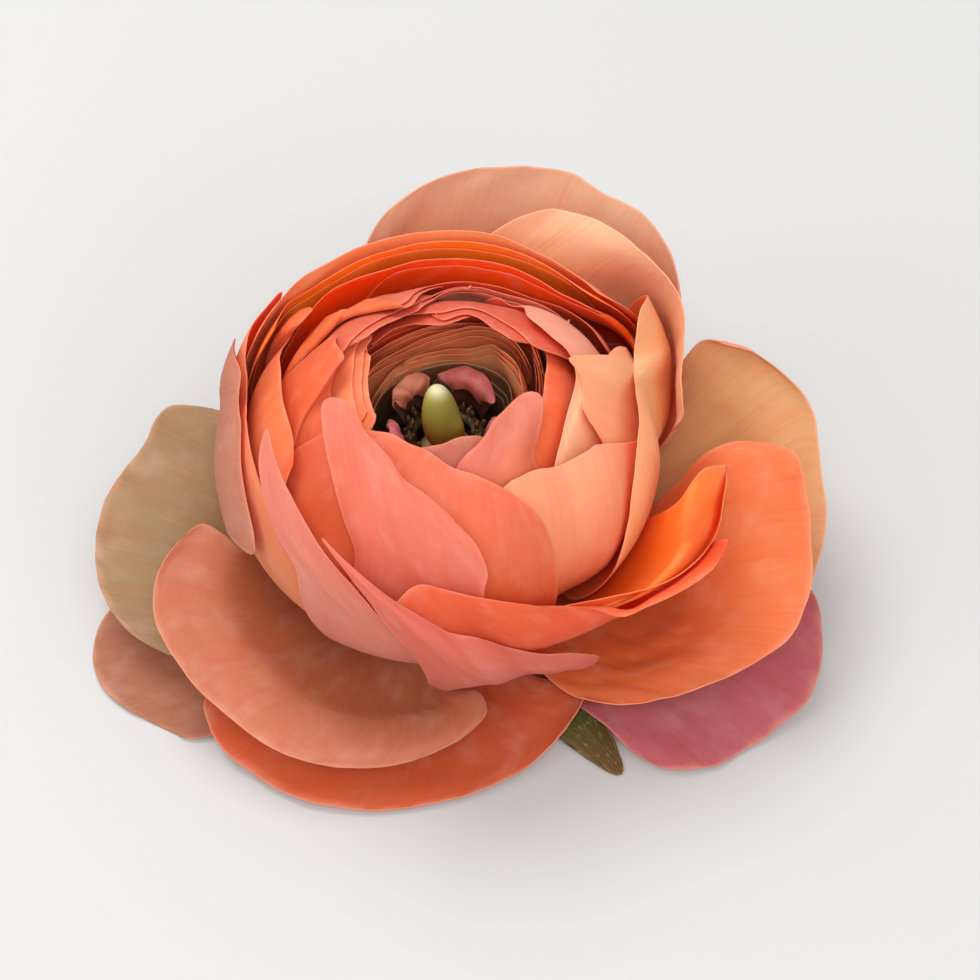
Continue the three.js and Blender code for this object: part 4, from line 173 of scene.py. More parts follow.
     'reach': [[19.53,20.87,22.47,24.55,27.24,27.48],[19.53,20.97,22.71,24.53,27.78,27.88],[19.53,21.28,23.96,25.7,29.41,30.06],[19.53,22.03,25.26,27.33,32.59,34.26],[19.53,22.42,25.61,27.54,33.96,36.4],[19.53,22.77,26.33,27.5,33.6,36.66]]},
    {'key': 'L3', 'name': 'cup_petal_front_left_inner', 'slot': 'petal_coral', 'mid': -138, 'zc': 0, 'base': -18.77, 'claw': 1.5,
     'left': [[-136.0,52.0],[-129.0,80.0],[-127.9,99.1],[-137.33,106.03],[-144.84,110.96],[-152.03,114.83],[-156.95,118.52]], 'top': [[-161.28,123.55],[-153.08,121.86],[-143.57,119.15],[-136.5,116.8],[-128.73,113.2],[-119.35,108.0],[-110.78,102.89]],
     'right': [[-88.0,52.0],[-90.0,78.0]],
     'reach': [[19.59,20.97,22.75,24.98,27.44,29.3,29.68,29.14,28.46,27.53],[19.59,21.04,22.77,24.63,26.96,28.95,29.71,29.36,28.75,27.87],[19.59,20.81,22.43,24.4,26.5,28.41,29.59,29.55,29.07,28.29],[19.59,20.63,21.97,23.64,25.61,27.64,29.22,29.66,29.41,28.82],[19.59,20.52,21.63,22.98,24.69,26.75,28.56,29.55,29.66,29.31]]},
    {'key': 'R1', 'name': 'cup_petal_right_outer', 'slot': 'petal_coral', 'mid': -55, 'zc': 0, 'base': -19.68, 'claw': 1.5,
     'left': [[-88.0,52.0],[-90.0,74.0],[-95.0,87.0]], 'top': [[-104.0,100.52],[-98.03,106.27],[-91.13,104.43],[-79.01,101.27],[-64.8,96.34],[-55.31,92.16],[-48.95,87.59],[-45.29,89.42],[-38.88,89.99],[-32.16,91.43],[-28.31,95.17]],
     'right': [[-14.0,50.0],[-19.0,75.07],[-20.0,84.96],[-24.53,94.78]],
     'reach': [[20.46,21.46,23.81,28.49,30.59,31.42,30.41],[20.46,21.86,24.03,26.74,28.65,28.53,27.13],[20.46,22.0,23.67,25.01,28.34,29.76,27.84],[20.46,21.85,23.72,25.86,28.18,30.43,29.24],[20.46,21.37,23.76,26.58,27.75,30.96,31.48],[20.46,21.89,24.11,26.57,27.99,31.98,35.61],[20.46,22.44,24.34,26.51,29.27,34.68,39.64]]},
    {'key': 'L1', 'name': 'cup_petal_left_outer', 'slot': 'petal_coral', 'mid': 176, 'zc': 0, 'base': -19.2, 'claw': 1.5,
     'left': [[146.0,60.0],[150.0,88.0]], 'top': [[151.88,100.83],[171.76,115.05],[179.44,111.74],[-169.85,111.57],[-157.28,107.41],[-150.53,103.83],[-145.11,99.71],[-141.86,93.75]],
     'right': [[172.0,48.0],[-180.0,68.0],[-162.0,84.0]],
     'reach': [[20.0,21.28,24.71,27.63,28.52,29.15,30.43,31.17,32.08,31.72],[20.0,21.19,24.79,28.23,29.31,30.39,31.43,31.2,30.61,29.35],[20.0,21.02,23.89,28.24,29.43,30.54,30.5,29.72,28.81,27.71],[20.0,21.04,22.81,26.93,29.39,30.5,29.87,29.68,29.31,28.51],[20.0,20.98,22.07,24.78,28.91,29.82,28.89,29.64,29.93,29.57]]},
    {'key': 'F2', 'name': 'cup_petal_front_outer', 'slot': 'petal_coral', 'mid': -98, 'zc': 0, 'base': -19.4, 'claw': 1.5,
     'left': [[-99.0,48.0],[-99.0,66.0],[-97.7,88.92],[-104.46,101.07],[-113.57,109.68]], 'top': [[-124.42,115.49],[-119.09,113.8],[-109.08,109.7],[-99.43,104.0],[-94.12,100.22],[-88.69,95.61],[-82.33,92.15],[-75.76,86.34],[-66.48,79.45],[-58.5,75.39],[-48.31,66.4]],
     'right': [[-60.0,40.0],[-51.0,57.5]],
     'reach': [[20.19,22.65,25.6,28.29,31.48,33.05,31.63,29.82],[20.19,22.26,25.56,29.68,32.17,33.45,33.07,30.75],[20.19,21.79,24.5,27.02,29.65,32.46,32.97,30.36],[20.19,21.66,23.91,25.15,27.09,30.26,31.34,29.65],[20.19,21.86,23.47,24.35,26.09,29.52,31.79,30.71],[20.19,22.43,22.7,23.58,25.65,29.3,32.67,32.66]]},
    {'key': 'G6', 'name': 'guard_petal_back_right_inner', 'slot': 'petal_outer_guard', 'mid': 52, 'zc': 30, 'base': -20.2, 'claw': 1.5,
     'left': [[28.0,15.58],[22.0,27.15],[17.0,36.5]], 'top': [[9.98,43.17],[9.0,48.39],[20.0,53.06],[31.82,57.68],[39.74,59.71],[49.99,60.85],[60.2,61.69],[69.28,60.94],[75.4,59.35]],
     'right': [[98.0,22.62],[92.0,41.42]],
     'reach': [[50.51,50.99,51.82,52.37,52.48,52.15,51.48,49.76,46.66,43.53],[50.51,51.13,51.93,52.19,52.65,52.6,52.93,49.67,43.95,40.18],[50.51,51.39,52.34,52.61,53.42,54.42,54.73,52.39,45.17,40.65],[50.51,51.76,52.99,53.37,53.49,53.89,54.51,53.19,46.93,42.6],[50.51,51.8,53.04,53.4,53.09,51.96,51.15,50.6,46.51,42.89],[50.51,51.73,52.9,53.26,52.93,50.28,46.86,44.96,43.69,42.99],[50.51,51.6,52.67,52.95,52.7,49.94,46.02,43.6,42.63,42.59],[50.51,51.23,52.01,52.17,52.04,49.82,46.03,42.85,41.33,40.86]]},
    {'key': 'G8', 'name': 'guard_petal_right_raised', 'slot': 'petal_outer_guard', 'mid': -22, 'zc': 30, 'base': -20.8, 'claw': 1.5,
     'left': [[-56.0,15.95],[-56.0,24.57]], 'top': [[-52.72,30.61],[-48.06,33.24],[-43.71,35.98],[-35.21,40.58],[-28.76,45.07],[-23.39,48.93],[-16.9,50.45],[-9.86,51.48],[-2.32,54.07],[2.17,54.55],[6.83,51.79]],
     'right': [[8.0,17.26],[4.0,33.07],[5.93,42.88],[7.26,47.54]],
     'reach': [[51.11,51.91,52.9,53.93,55.11,56.81,58.45,59.71],[51.11,52.59,54.3,55.56,56.84,58.54,59.93,61.67],[51.11,53.23,55.52,56.9,58.29,59.67,60.72,63.44],[51.11,53.78,56.4,57.83,59.03,59.63,60.7,64.44],[51.11,53.83,56.37,57.54,58.12,57.97,58.87,63.1],[51.11,53.33,55.24,55.55,54.87,53.59,53.72,58.17],[51.11,52.62,53.9,53.33,51.7,49.34,48.49,52.49]]},
    {'key': 'G1', 'name': 'guard_petal_front_left_upper', 'slot': 'petal_outer_guard', 'mid': -135, 'zc': 30, 'base': -21, 'claw': 1.5,
     'left': [[-172.0,16.24],[-168.66,31.01],[-172.09,34.83],[-175.53,37.78]], 'top': [[-171.43,40.87],[-164.4,43.05],[-159.39,43.71],[-153.43,43.75],[-146.54,42.45],[-138.42,40.57],[-126.76,38.69],[-114.12,36.17],[-101.79,33.11],[-91.39,30.55],[-83.52,28.5]],
     'right': [[-92.0,14.8],[-86.0,21.61],[-79.25,23.58],[-78.38,26.93]],
     'reach': [[51.31,52.33,53.65,53.09,51.58,51.28,53.96],[51.31,53.0,54.89,54.88,54.53,55.09,58.86],[51.31,53.28,55.48,56.01,56.39,57.16,61.18],[51.31,53.43,55.82,56.86,57.81,58.65,62.69],[51.31,53.43,55.83,57.21,58.6,59.43,63.41],[51.31,53.21,55.39,56.94,58.62,59.21,62.91],[51.31,52.8,54.54,56.06,57.94,58.09,61.42],[51.31,52.28,53.46,54.79,56.85,56.54,59.37]]},
    {'key': 'G5', 'name': 'guard_petal_back', 'slot': 'petal_outer_guard', 'mid': 82, 'zc': 30, 'base': -21.4, 'claw': 1.5,
     'left': [[35.0,19.8],[33.0,38.48]], 'top': [[35.53,57.2],[41.64,59.75],[48.86,62.32],[53.77,63.71],[61.12,64.03],[67.02,65.42],[73.02,65.08],[84.15,64.21],[90.4,63.13],[97.32,60.88],[103.51,57.83]],
     'right': [[122.0,19.62],[116.0,36.63],[108.42,53.69]],
     'reach': [[51.7,52.38,53.02,53.21,53.16,53.82,55.16,55.55,53.21,48.6,45.33],[51.7,52.5,53.5,54.19,54.37,54.8,55.85,56.45,54.13,49.13,47.16],[51.7,52.73,54.02,54.88,55.15,55.15,55.19,54.95,52.06,48.94,48.01],[51.7,52.85,54.24,55.11,55.39,54.9,53.26,51.59,49.7,48.35,48.0],[51.7,53.0,54.53,55.45,55.74,54.93,52.59,50.55,49.1,48.29,48.3],[51.7,53.04,54.6,55.53,55.77,54.78,52.36,50.34,48.93,48.05,48.15],[51.7,52.93,54.4,55.23,55.31,54.11,51.58,49.52,47.98,46.93,46.98],[51.7,52.8,54.16,54.9,54.81,53.44,50.82,48.69,47.05,45.89,45.89],[51.7,52.56,53.7,54.32,54.05,52.57,49.94,47.72,45.99,44.66,44.62],[51.7,52.31,53.2,53.75,53.34,51.85,49.38,47.1,45.4,43.9,44.01]]},
    {'key': 'G3', 'name': 'guard_petal_left', 'slot': 'petal_outer_guard', 'mid': 182, 'zc': 30, 'base': -22.45, 'claw': 1.5,
     'left': [[160.0,17.26],[158.0,28.79]], 'top': [[153.65,41.9],[154.98,43.96],[157.34,46.04],[163.0,44.68],[172.0,44.69],[-178.0,44.11],[-168.0,42.05],[-160.0,39.43]],
     'right': [[-144.0,14.66],[-146.0,25.92],[-152.0,34.19]],
     'reach': [[52.75,53.14,53.59,53.47,53.98,53.04,51.24,49.65,52.52],[52.75,53.21,53.74,53.52,53.6,53.23,52.62,54.99,60.56],[52.75,53.67,54.68,55.01,55.51,56.3,57.11,60.1,65.93],[52.75,54.17,55.15,55.31,55.91,57.28,58.87,62.27,68.19],[52.75,54.09,55.51,56.6,56.81,58.53,60.84,63.6,68.67],[52.75,53.78,55.42,57.3,57.76,59.56,62.44,64.83,67.44]]},
    {'key': 'G2', 'name': 'guard_petal_front_lower', 'slot': 'petal_outer_guard', 'mid': -105, 'zc': 30, 'base': -22.82, 'claw': 1.5,
     'left': [[-152.0,14.53],[-148.0,24.64]], 'top': [[-148.54,35.99],[-143.58,36.4],[-136.52,36.74],[-129.34,36.27],[-120.51,35.75],[-111.34,34.76],[-98.65,33.11],[-86.02,31.71],[-73.93,30.28],[-59.83,28.48],[-49.06,26.78]],
     'right': [[-62.0,14.46],[-57.0,20.9],[-43.83,24.72]],
     'reach': [[53.12,54.14,58.51,59.28,61.38,66.18],[53.12,54.36,57.33,59.46,62.96,69.36],[53.12,54.71,56.48,59.7,63.99,69.53],[53.12,54.92,56.59,59.97,63.86,68.12],[53.12,54.72,56.42,59.67,63.08,66.35],[53.12,54.45,55.94,58.93,61.77,63.99],[53.12,54.08,55.24,57.86,60.04,61.2]]},
    {'key': 'G7', 'name': 'guard_petal_right', 'slot': 'petal_outer_guard', 'mid': 10, 'zc': 30, 'base': -22.51, 'claw': 1.5,
     'left': [[-28.0,17.63],[-26.0,31.61]], 'top': [[-22.0,40.03],[-14.0,45.3],[-2.0,49.3],[8.0,51.34],[14.21,53.5],[18.54,54.3],[23.95,54.19],[27.05,53.35],[30.73,51.25]],
     'right': [[40.0,18.01],[38.0,31.61],[34.53,48.78]],
     'reach': [[52.81,53.81,55.49,57.25,58.6,59.5,60.51,62.52,65.34],[52.81,54.09,56.0,57.86,58.77,60.0,61.8,64.2,66.83],[52.81,54.4,56.2,57.5,58.52,60.26,62.29,64.58,66.68],[52.81,54.62,56.45,57.5,58.53,60.2,62.1,63.96,65.75],[52.81,54.67,56.52,57.43,58.14,59.41,61.05,62.4,64.08],[52.81,54.71,56.5,57.23,57.54,58.36,59.62,60.4,62.44],[52.81,54.38,55.79,56.09,56.11,56.54,56.93,56.62,58.0],[52.81,53.88,54.9,55.07,55.62,56.77,56.77,53.85,52.52]]},
    {'key': 'G9', 'name': 'guard_petal_front_right_lower', 'slot': 'petal_outer_guard', 'mid': -30, 'zc': 30, 'base': -23.6, 'claw': 1.5,
     'left': [[-60.0,15.26],[-52.0,25.22]], 'top': [[-50.23,34.91],[-46.51,37.06],[-41.09,38.97],[-36.59,39.63],[-30.63,41.23],[-26.03,42.74],[-20.82,44.01],[-13.0,44.17],[-5.0,43.28]],
     'right': [[12.0,15.39],[8.0,27.85],[2.0,37.57]],
     'reach': [[53.89,54.61,55.67,58.16,60.32,61.53,62.42,64.58,68.48],[53.89,54.91,56.03,57.72,60.77,62.25,63.75,67.32,72.44],[53.89,55.08,56.66,58.88,60.52,62.06,64.97,69.14,74.67],[53.89,55.65,58.15,59.47,60.16,61.51,64.7,69.29,75.48],[53.89,56.45,57.85,58.54,59.33,60.7,63.67,68.87,75.49],[53.89,56.16,56.6,57.89,58.95,60.09,62.48,67.37,73.17],[53.89,54.85,56.13,57.54,58.53,59.51,62.0,66.16,70.67]]},
    {'key': 'G4', 'name': 'guard_petal_left_lower', 'slot': 'petal_outer_guard', 'mid': -160, 'zc': 30, 'base': -23.46, 'claw': 1.5,
     'left': [[-180.0,15.18],[178.0,27.84]], 'top': [[-180.0,36.19],[-172.0,39.46],[-163.0,40.63],[-155.0,39.76],[-147.29,37.17],[-141.7,36.24]],
     'right': [[-134.0,14.18],[-137.0,25.5],[-140.66,35.52]],
     'reach': [[53.75,55.13,56.27,57.91,59.93,62.14,64.77,67.73,71.12],[53.75,55.39,56.59,58.46,60.55,63.29,66.73,70.67,75.01],[53.75,55.57,58.83,60.67,60.87,63.28,66.98,71.28,76.03],[53.75,58.51,59.21,60.4,61.3,62.86,66.09,70.06,73.84],[53.75,58.43,59.01,59.33,60.91,62.43,64.7,68.08,71.57]]},
    {'key': 'S1', 'name': 'sepal_front_right', 'slot': 'green_stem', 'mid': -54, 'zc': 30, 'base': -24.3, 'claw': 1.5,
     'left': [[-79.0,10.27],[-68.44,17.58]], 'top': [[-58.61,29.27],[-56.23,32.37],[-54.0,33.71],[-51.77,32.37],[-49.39,29.27]],
     'right': [[-29.0,10.27],[-39.56,17.58]],
     'reach': [[54.59,55.54,56.7,58.22,60.31,63.02,65.94],[54.59,56.21,59.22,60.29,62.01,64.02,67.85],[54.59,57.3,59.38,60.61,62.58,65.22,69.34],[54.59,56.11,58.27,60.29,62.01,64.47,67.85],[54.59,56.4,59.03,59.9,61.33,63.41,65.66]]},
    {'key': 'S2', 'name': 'sepal_right', 'slot': 'green_stem', 'mid': 30, 'zc': 30, 'base': -24.3, 'claw': 1.5,
     'left': [[0.0,10.27],[12.67,17.58]], 'top': [[22.11,21.46],[26.18,23.97],[30.0,25.08],[33.82,23.97],[37.89,21.46]],
     'right': [[60.0,10.27],[47.33,17.58]],
     'reach': [[54.59,57.26,59.26,59.5,61.8],[54.59,56.02,59.07,60.06,63.0],[54.59,55.47,58.0,60.64,63.68],[54.59,55.4,57.86,60.24,63.0],[54.59,55.13,57.5,59.55,61.97]]},
    {'key': 'S3', 'name': 'sepal_back', 'slot': 'green_stem', 'mid': 92, 'zc': 30, 'base': -24.3, 'claw': 1.5,
     'left': [[59.5,10.27],[73.22,17.58]], 'top': [[83.45,21.46],[87.86,23.97],[92.0,25.08],[96.14,23.97],[100.55,21.46]],
     'right': [[124.5,10.27],[110.78,17.58]],
     'reach': [[54.59,55.04,57.35,59.5,61.97],[54.59,55.33,57.76,60.18,63.01],[54.59,55.51,57.99,60.61,63.68],[54.59,55.33,57.76,60.18,63.01],[54.59,55.04,57.35,59.5,61.97]]},
    {'key': 'S4', 'name': 'sepal_left', 'slot': 'green_stem', 'mid': 155, 'zc': 30, 'base': -24.3, 'claw': 1.5,
     'left': [[125.0,10.27],[137.67,17.58]], 'top': [[147.11,21.46],[151.18,23.97],[155.0,25.08],[158.82,23.97],[162.89,21.46]],
     'right': [[-175.0,10.27],[172.33,17.58]],
     'reach': [[54.59,55.12,57.48,59.55,61.97],[54.59,55.41,57.89,60.23,63.0],[54.59,55.55,58.1,60.67,63.68],[54.59,55.3,57.93,60.19,63.0],[54.59,56.39,58.6,59.52,61.9]]},
    {'key': 'S5', 'name': 'sepal_front', 'slot': 'green_stem', 'mid': -100, 'zc': 30, 'base': -24.3, 'claw': 1.5,
     'left': [[-127.5,10.27],[-115.89,17.58]], 'top': [[-107.52,20.73],[-103.64,23.17],[-100.0,24.26],[-96.36,23.17],[-92.48,20.73]],
     'right': [[-72.5,10.27],[-84.11,17.58]],
     'reach': [[54.59,55.54,58.32,59.94,61.67],[54.59,55.84,58.54,61.01,62.63],[54.59,55.98,58.95,61.41,63.27],[54.59,55.6,58.28,60.9,62.63],[54.59,58.3,58.13,59.8,61.67]]},
]
PETALOIDS = [
    {'name': 'petaloid_back_right', 'az': 58, 'half': 40, 'r0': 6.6, 'r1': 7.6, 'curl': 0.7, 'z0': 3.0, 'z1': 8.7},
    {'name': 'petaloid_back_left', 'az': 134, 'half': 32, 'r0': 6.5, 'r1': 7.5, 'curl': 0.6, 'z0': 3.0, 'z1': 8.3},
    {'name': 'petaloid_left', 'az': 196, 'half': 24, 'r0': 6.4, 'r1': 7.2, 'curl': 0.5, 'z0': 3.0, 'z1': 7.0},
    {'name': 'petaloid_front', 'az': 250, 'half': 26, 'r0': 6.4, 'r1': 7.2, 'curl': 0.5, 'z0': 3.0, 'z1': 6.4},
    {'name': 'petaloid_right', 'az': 336, 'half': 34, 'r0': 6.4, 'r1': 7.2, 'curl': 0.6, 'z0': 3.0, 'z1': 7.2},
]


# ---------------------------------------------------------------- geometry --
def spline(rows, u):
    """Catmull-Rom through rows (n, k) at u in [0, n - 1]."""
    rows = np.asarray(rows, float)
    n = len(rows)
    v = np.concatenate([[2 * rows[0] - rows[1]], rows, [2 * rows[-1] - rows[-2]]], 0)
    x = np.clip(np.asarray(u, float), 0, n - 1 - 1e-9)
    i = np.floor(x).astype(int)
    s = (x - i)[:, None]
    p0, p1, p2, p3 = v[i], v[i + 1], v[i + 2], v[i + 3]
    return 0.5 * (2 * p1 + (p2 - p0) * s + (2 * p0 - 5 * p1 + 4 * p2 - p3) * s ** 2
                  + (3 * p1 - p0 - 3 * p2 + p3) * s ** 3)


def even(rows, x):
    """The same curve walked by its own length, x in [0, 1]."""
    rows = np.asarray(rows, float)
    u = np.linspace(0, len(rows) - 1, 40 * len(rows))
    q = spline(rows, u)
    s = np.concatenate([[0], np.cumsum(np.hypot(*np.diff(q, axis=0).T))])
    return spline(rows, np.interp(np.asarray(x) * s[-1], s, u))


def chart_points(p, a, t):
    """Azimuth and angle up from straight down, over the grid a by t."""
    def flat(vs):
        v = np.array(vs, float)
        d = (v[:, 0] - p["mid"] + 180) % 360 - 180
        return np.stack([np.radians(v[:, 1]), CLAW_CHART * np.radians(d)], 1)
    base = math.atan2(CLAW_RADIUS, p["zc"] - p["base"])
    half = p["claw"] / CLAW_RADIUS * CLAW_CHART
    A, B = np.array([base, -half]), np.array([base, half])
    M = flat(p["top"])
    L = np.vstack([A, flat(p["left"]), M[0]])
    R = np.vstack([B, flat(p["right"]), M[-1]])
    l, r, m = even(L, t), even(R, t), even(M, a)
    a_, t_ = a[:, None, None], t[None, :, None]
    S = (1 - a_) * l[None] + a_ * r[None] + (1 - t_) * ((1 - a_) * A + a_ * B) + t_ * m[:, None]
    S = S - ((1 - a_) * (1 - t_) * A + a_ * (1 - t_) * B + (1 - a_) * t_ * M[0] + a_ * t_ * M[-1])
    return math.radians(p["mid"]) + S[..., 1] / CLAW_CHART, S[..., 0]


def reach(p, a, t):
    tab = np.array(p["reach"], float)
    g = spline(tab, a * (tab.shape[0] - 1))
    return spline(g.T, t * (tab.shape[1] - 1)).T


def petal_points(p, a, t):
    th, al = chart_points(p, a, t)
    d = reach(p, a, t)
    return np.stack([d * np.sin(al) * np.cos(th), d * np.sin(al) * np.sin(th), p["zc"] - d * np.cos(al)], -1)


def grid_normals(G):
    e, f = np.gradient(G, axis=0), np.gradient(G, axis=1)
    n = np.cross(e, f)
    return n / np.maximum(np.linalg.norm(n, axis=-1, keepdims=True), 1e-9)


class Waves:
    """Smooth seeded noise in the plane: a sum of sines, about -1 to 1."""
    def __init__(self, seed, size, count=9):
        r = np.random.RandomState(seed)
        ang = r.uniform(0, 2 * math.pi, count)
        k = 2 * math.pi / (size * r.uniform(0.6, 1.7, count))
        self.kx, self.ky = k * np.cos(ang), k * np.sin(ang)
        self.ph = r.uniform(0, 2 * math.pi, count)

    def __call__(self, x, y):
        s = 0
        for kx, ky, ph in zip(self.kx, self.ky, self.ph):
            s = s + np.sin(kx * x + ky * y + ph)
        return s / (0.55 * len(self.kx))


def lin(c):
    """sRGB 0..255 to linear."""
    c = np.asarray(c, float) / 255.0
    return np.where(c <= 0.04045, c / 12.92, ((c + 0.055) / 1.055) ** 2.4)


def smooth(x, lo, hi):
    x = np.clip((np.asarray(x, float) - lo) / (hi - lo), 0, 1)
    return x * x * (3 - 2 * x)


def make(name, verts, faces, tint, grain, material, node, slot):
    """A mesh piece from millimetre points, with its colour and grain stored on its points."""
    me = bpy.data.meshes.new(name)
    V = (np.asarray(verts, float) + np.array(SHIFT)) * 0.001
    me.from_pydata(V.tolist(), [], faces)
    me.update()
    at = me.attributes.new("tint", "FLOAT_COLOR", "POINT")
    c = np.ones((len(V), 4))
    c[:, :3] = np.clip(tint, 0, 1)
    at.data.foreach_set("color", c.ravel().astype(np.float32))
    at = me.attributes.new("grain", "FLOAT_VECTOR", "POINT")
    at.data.foreach_set("vector", np.asarray(grain, float).ravel().astype(np.float32))
    me.polygons.foreach_set("use_smooth", [True] * len(me.polygons))
    me.materials.append(material)
    ob = bpy.data.objects.new(name, me)
    bpy.context.scene.collection.objects.link(ob)
    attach(ob, "root")
    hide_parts(node)
    return ob


def shell_mesh(G, thick, rim):
    """Closed shell round a grid of points: verts, faces, and for every vertex its grid place and its side
    (1 outer, -1 inner, 0 on the rounded rim). thick is a grid of thicknesses, rim how far the rim stands out."""
    ni, nj = G.shape[:2]
    N = grid_normals(G)
    h = thick[..., None] / 2
    verts = [(G + N * h).reshape(-1, 3), (G - N * h).reshape(-1, 3)]
    idx = np.arange(ni * nj).reshape(ni, nj)
    K = ni * nj
    faces = []
    q = np.stack([idx[:-1, :-1], idx[1:, :-1], idx[1:, 1:], idx[:-1, 1:]], -1).reshape(-1, 4)
    faces += q.tolist() + (q[:, ::-1] + K).tolist()
    loop = [(i, 0) for i in range(ni)] + [(ni - 1, j) for j in range(1, nj)] \
        + [(i, nj - 1) for i in range(ni - 2, -1, -1)] + [(0, j) for j in range(nj - 2, 0, -1)]
    out = []
    for i, j in loop:
        d = np.zeros(3)
        if i == 0: d += G[0, j] - G[1, j]
        if i == ni - 1: d += G[-1, j] - G[-2, j]
        e = np.zeros(3)
        if j == 0: e += G[i, 0] - G[i, 1]
        if j == nj - 1: e += G[i, -1] - G[i, -2]
        v = d / max(np.linalg.norm(d), 1e-9) + e / max(np.linalg.norm(e), 1e-9)
        out.append(G[i, j] + v / max(np.linalg.norm(v), 1e-9) * rim)
    verts.append(np.array(out))
    m = len(loop)
    for k in range(m):
        a, b = idx[loop[k]], idx[loop[(k + 1) % m]]
        ra, rb = 2 * K + k, 2 * K + (k + 1) % m
        faces.append([int(a), int(ra), int(rb), int(b)])
        faces.append([int(a + K), int(b + K), int(rb), int(ra)])
    place = [(i, j) for i in range(ni) for j in range(nj)] * 2 + loop
    side = np.concatenate([np.ones(K), -np.ones(K), np.zeros(m)])
    return np.vstack(verts), faces, np.array(place), side


def steps(n, tight=0.006):
    """0..1 with a close row at both ends, so that the rounded rim stays narrow."""
    return np.concatenate([[0, tight], np.linspace(0, 1, n + 1)[1:-1], [1 - tight, 1]])


# --------------------------------------------------------------- materials --
def nodes_of(mat):
    mat.use_nodes = True
    nt = mat.node_tree
    nt.nodes.clear()
    return nt, nt.nodes, nt.links


def petal_material(name, rough, spec, sheen, glow, vein, bump, warm=(1.0, 0.62, 0.45)):
    """Petal tissue: the tint painted on the points, broken up by fine veins that run from the claw to the
    margin and by soft blotches; part of the light passes through the sheet."""
    mat = bpy.data.materials.new(name)
    nt, N, L = nodes_of(mat)
    out = N.new("ShaderNodeOutputMaterial")
    tint = N.new("ShaderNodeAttribute"); tint.attribute_name = "tint"
    grain = N.new("ShaderNodeAttribute"); grain.attribute_name = "grain"
    # fine veins, long in the direction of growth
    m1 = N.new("ShaderNodeMapping"); m1.inputs["Scale"].default_value = (1.9, 0.075, 1.0)
    L.new(grain.outputs["Vector"], m1.inputs["Vector"])
    v1 = N.new("ShaderNodeTexNoise"); v1.inputs["Scale"].default_value = 1.0
    v1.inputs["Detail"].default_value = 3.0; v1.inputs["Roughness"].default_value = 0.62
    v1.inputs["Distortion"].default_value = 0.25
    L.new(m1.outputs["Vector"], v1.inputs["Vector"])
    # broad soft streaks
    m2 = N.new("ShaderNodeMapping"); m2.inputs["Scale"].default_value = (0.32, 0.05, 1.0)
    L.new(grain.outputs["Vector"], m2.inputs["Vector"])
    v2 = N.new("ShaderNodeTexNoise"); v2.inputs["Scale"].default_value = 1.0
    v2.inputs["Detail"].default_value = 2.0
    L.new(m2.outputs["Vector"], v2.inputs["Vector"])
    # blotches and cells, the same in every direction
    m3 = N.new("ShaderNodeMapping"); m3.inputs["Scale"].default_value = (0.22, 0.22, 1.0)
    L.new(grain.outputs["Vector"], m3.inputs["Vector"])
    v3 = N.new("ShaderNodeTexNoise"); v3.inputs["Scale"].default_value = 1.0
    v3.inputs["Detail"].default_value = 4.0; v3.inputs["Roughness"].default_value = 0.55
    L.new(m3.outputs["Vector"], v3.inputs["Vector"])
    m4 = N.new("ShaderNodeMapping"); m4.inputs["Scale"].default_value = (5.5, 3.0, 1.0)
    L.new(grain.outputs["Vector"], m4.inputs["Vector"])
    v4 = N.new("ShaderNodeTexNoise"); v4.inputs["Scale"].default_value = 1.0
    v4.inputs["Detail"].default_value = 1.0
    L.new(m4.outputs["Vector"], v4.inputs["Vector"])

    def rng(src, lo, hi, a, b):
        r = N.new("ShaderNodeMapRange")
        r.inputs["From Min"].default_value = lo; r.inputs["From Max"].default_value = hi
        r.inputs["To Min"].default_value = a; r.inputs["To Max"].default_value = b
        L.new(src, r.inputs["Value"])
        return r.outputs["Result"]

    def mix(kind, fac, a, b):
        x = N.new("ShaderNodeMix"); x.data_type = "RGBA"; x.blend_type = kind
        for sock, val in ((x.inputs[0], fac), (x.inputs[6], a), (x.inputs[7], b)):
            if isinstance(val, (int, float)): sock.default_value = val
            elif isinstance(val, tuple): sock.default_value = (*val, 1.0)
            else: L.new(val, sock)
        return x.outputs[2]

    # veins darken and redden the sheet a little, blotches turn it to a warmer hue
    c = mix("MULTIPLY", rng(v1.outputs["Fac"], 0.48, 0.66, 0.0, vein), tint.outputs["Color"], (1.0, 0.72, 0.66))
    c = mix("MULTIPLY", rng(v2.outputs["Fac"], 0.40, 0.70, 0.0, 0.55), c, (1.0, 0.86, 0.80))
    c = mix("SCREEN", rng(v3.outputs["Fac"], 0.50, 0.72, 0.0, 0.10), c, (1.0, 0.75, 0.62))
    ps = N.new("ShaderNodeBsdfPrincipled")
    L.new(c, ps.inputs["Base Color"])
    L.new(rng(v3.outputs["Fac"], 0.3, 0.7, rough - 0.06, rough + 0.08), ps.inputs["Roughness"])
    ps.inputs["Specular IOR Level"].default_value = spec
    ps.inputs["Sheen Weight"].default_value = sheen
    ps.inputs["Sheen Roughness"].default_value = 0.45
    # relief: veins and a fine cell grain
    add = N.new("ShaderNodeMath"); add.operation = "MULTIPLY_ADD"
    L.new(v4.outputs["Fac"], add.inputs[0]); add.inputs[1].default_value = 0.35
    L.new(v1.outputs["Fac"], add.inputs[2])
    bp = N.new("ShaderNodeBump"); bp.inputs["Strength"].default_value = bump
    bp.inputs["Distance"].default_value = 0.00012
    L.new(add.outputs[0], bp.inputs["Height"])
    L.new(bp.outputs["Normal"], ps.inputs["Normal"])
    tr = N.new("ShaderNodeBsdfTranslucent")
    L.new(mix("MULTIPLY", 1.0, c, warm), tr.inputs["Color"])
    ms = N.new("ShaderNodeMixShader"); ms.inputs[0].default_value = glow
    L.new(ps.outputs[0], ms.inputs[1]); L.new(tr.outputs[0], ms.inputs[2])
    L.new(ms.outputs[0], out.inputs["Surface"])
    return mat


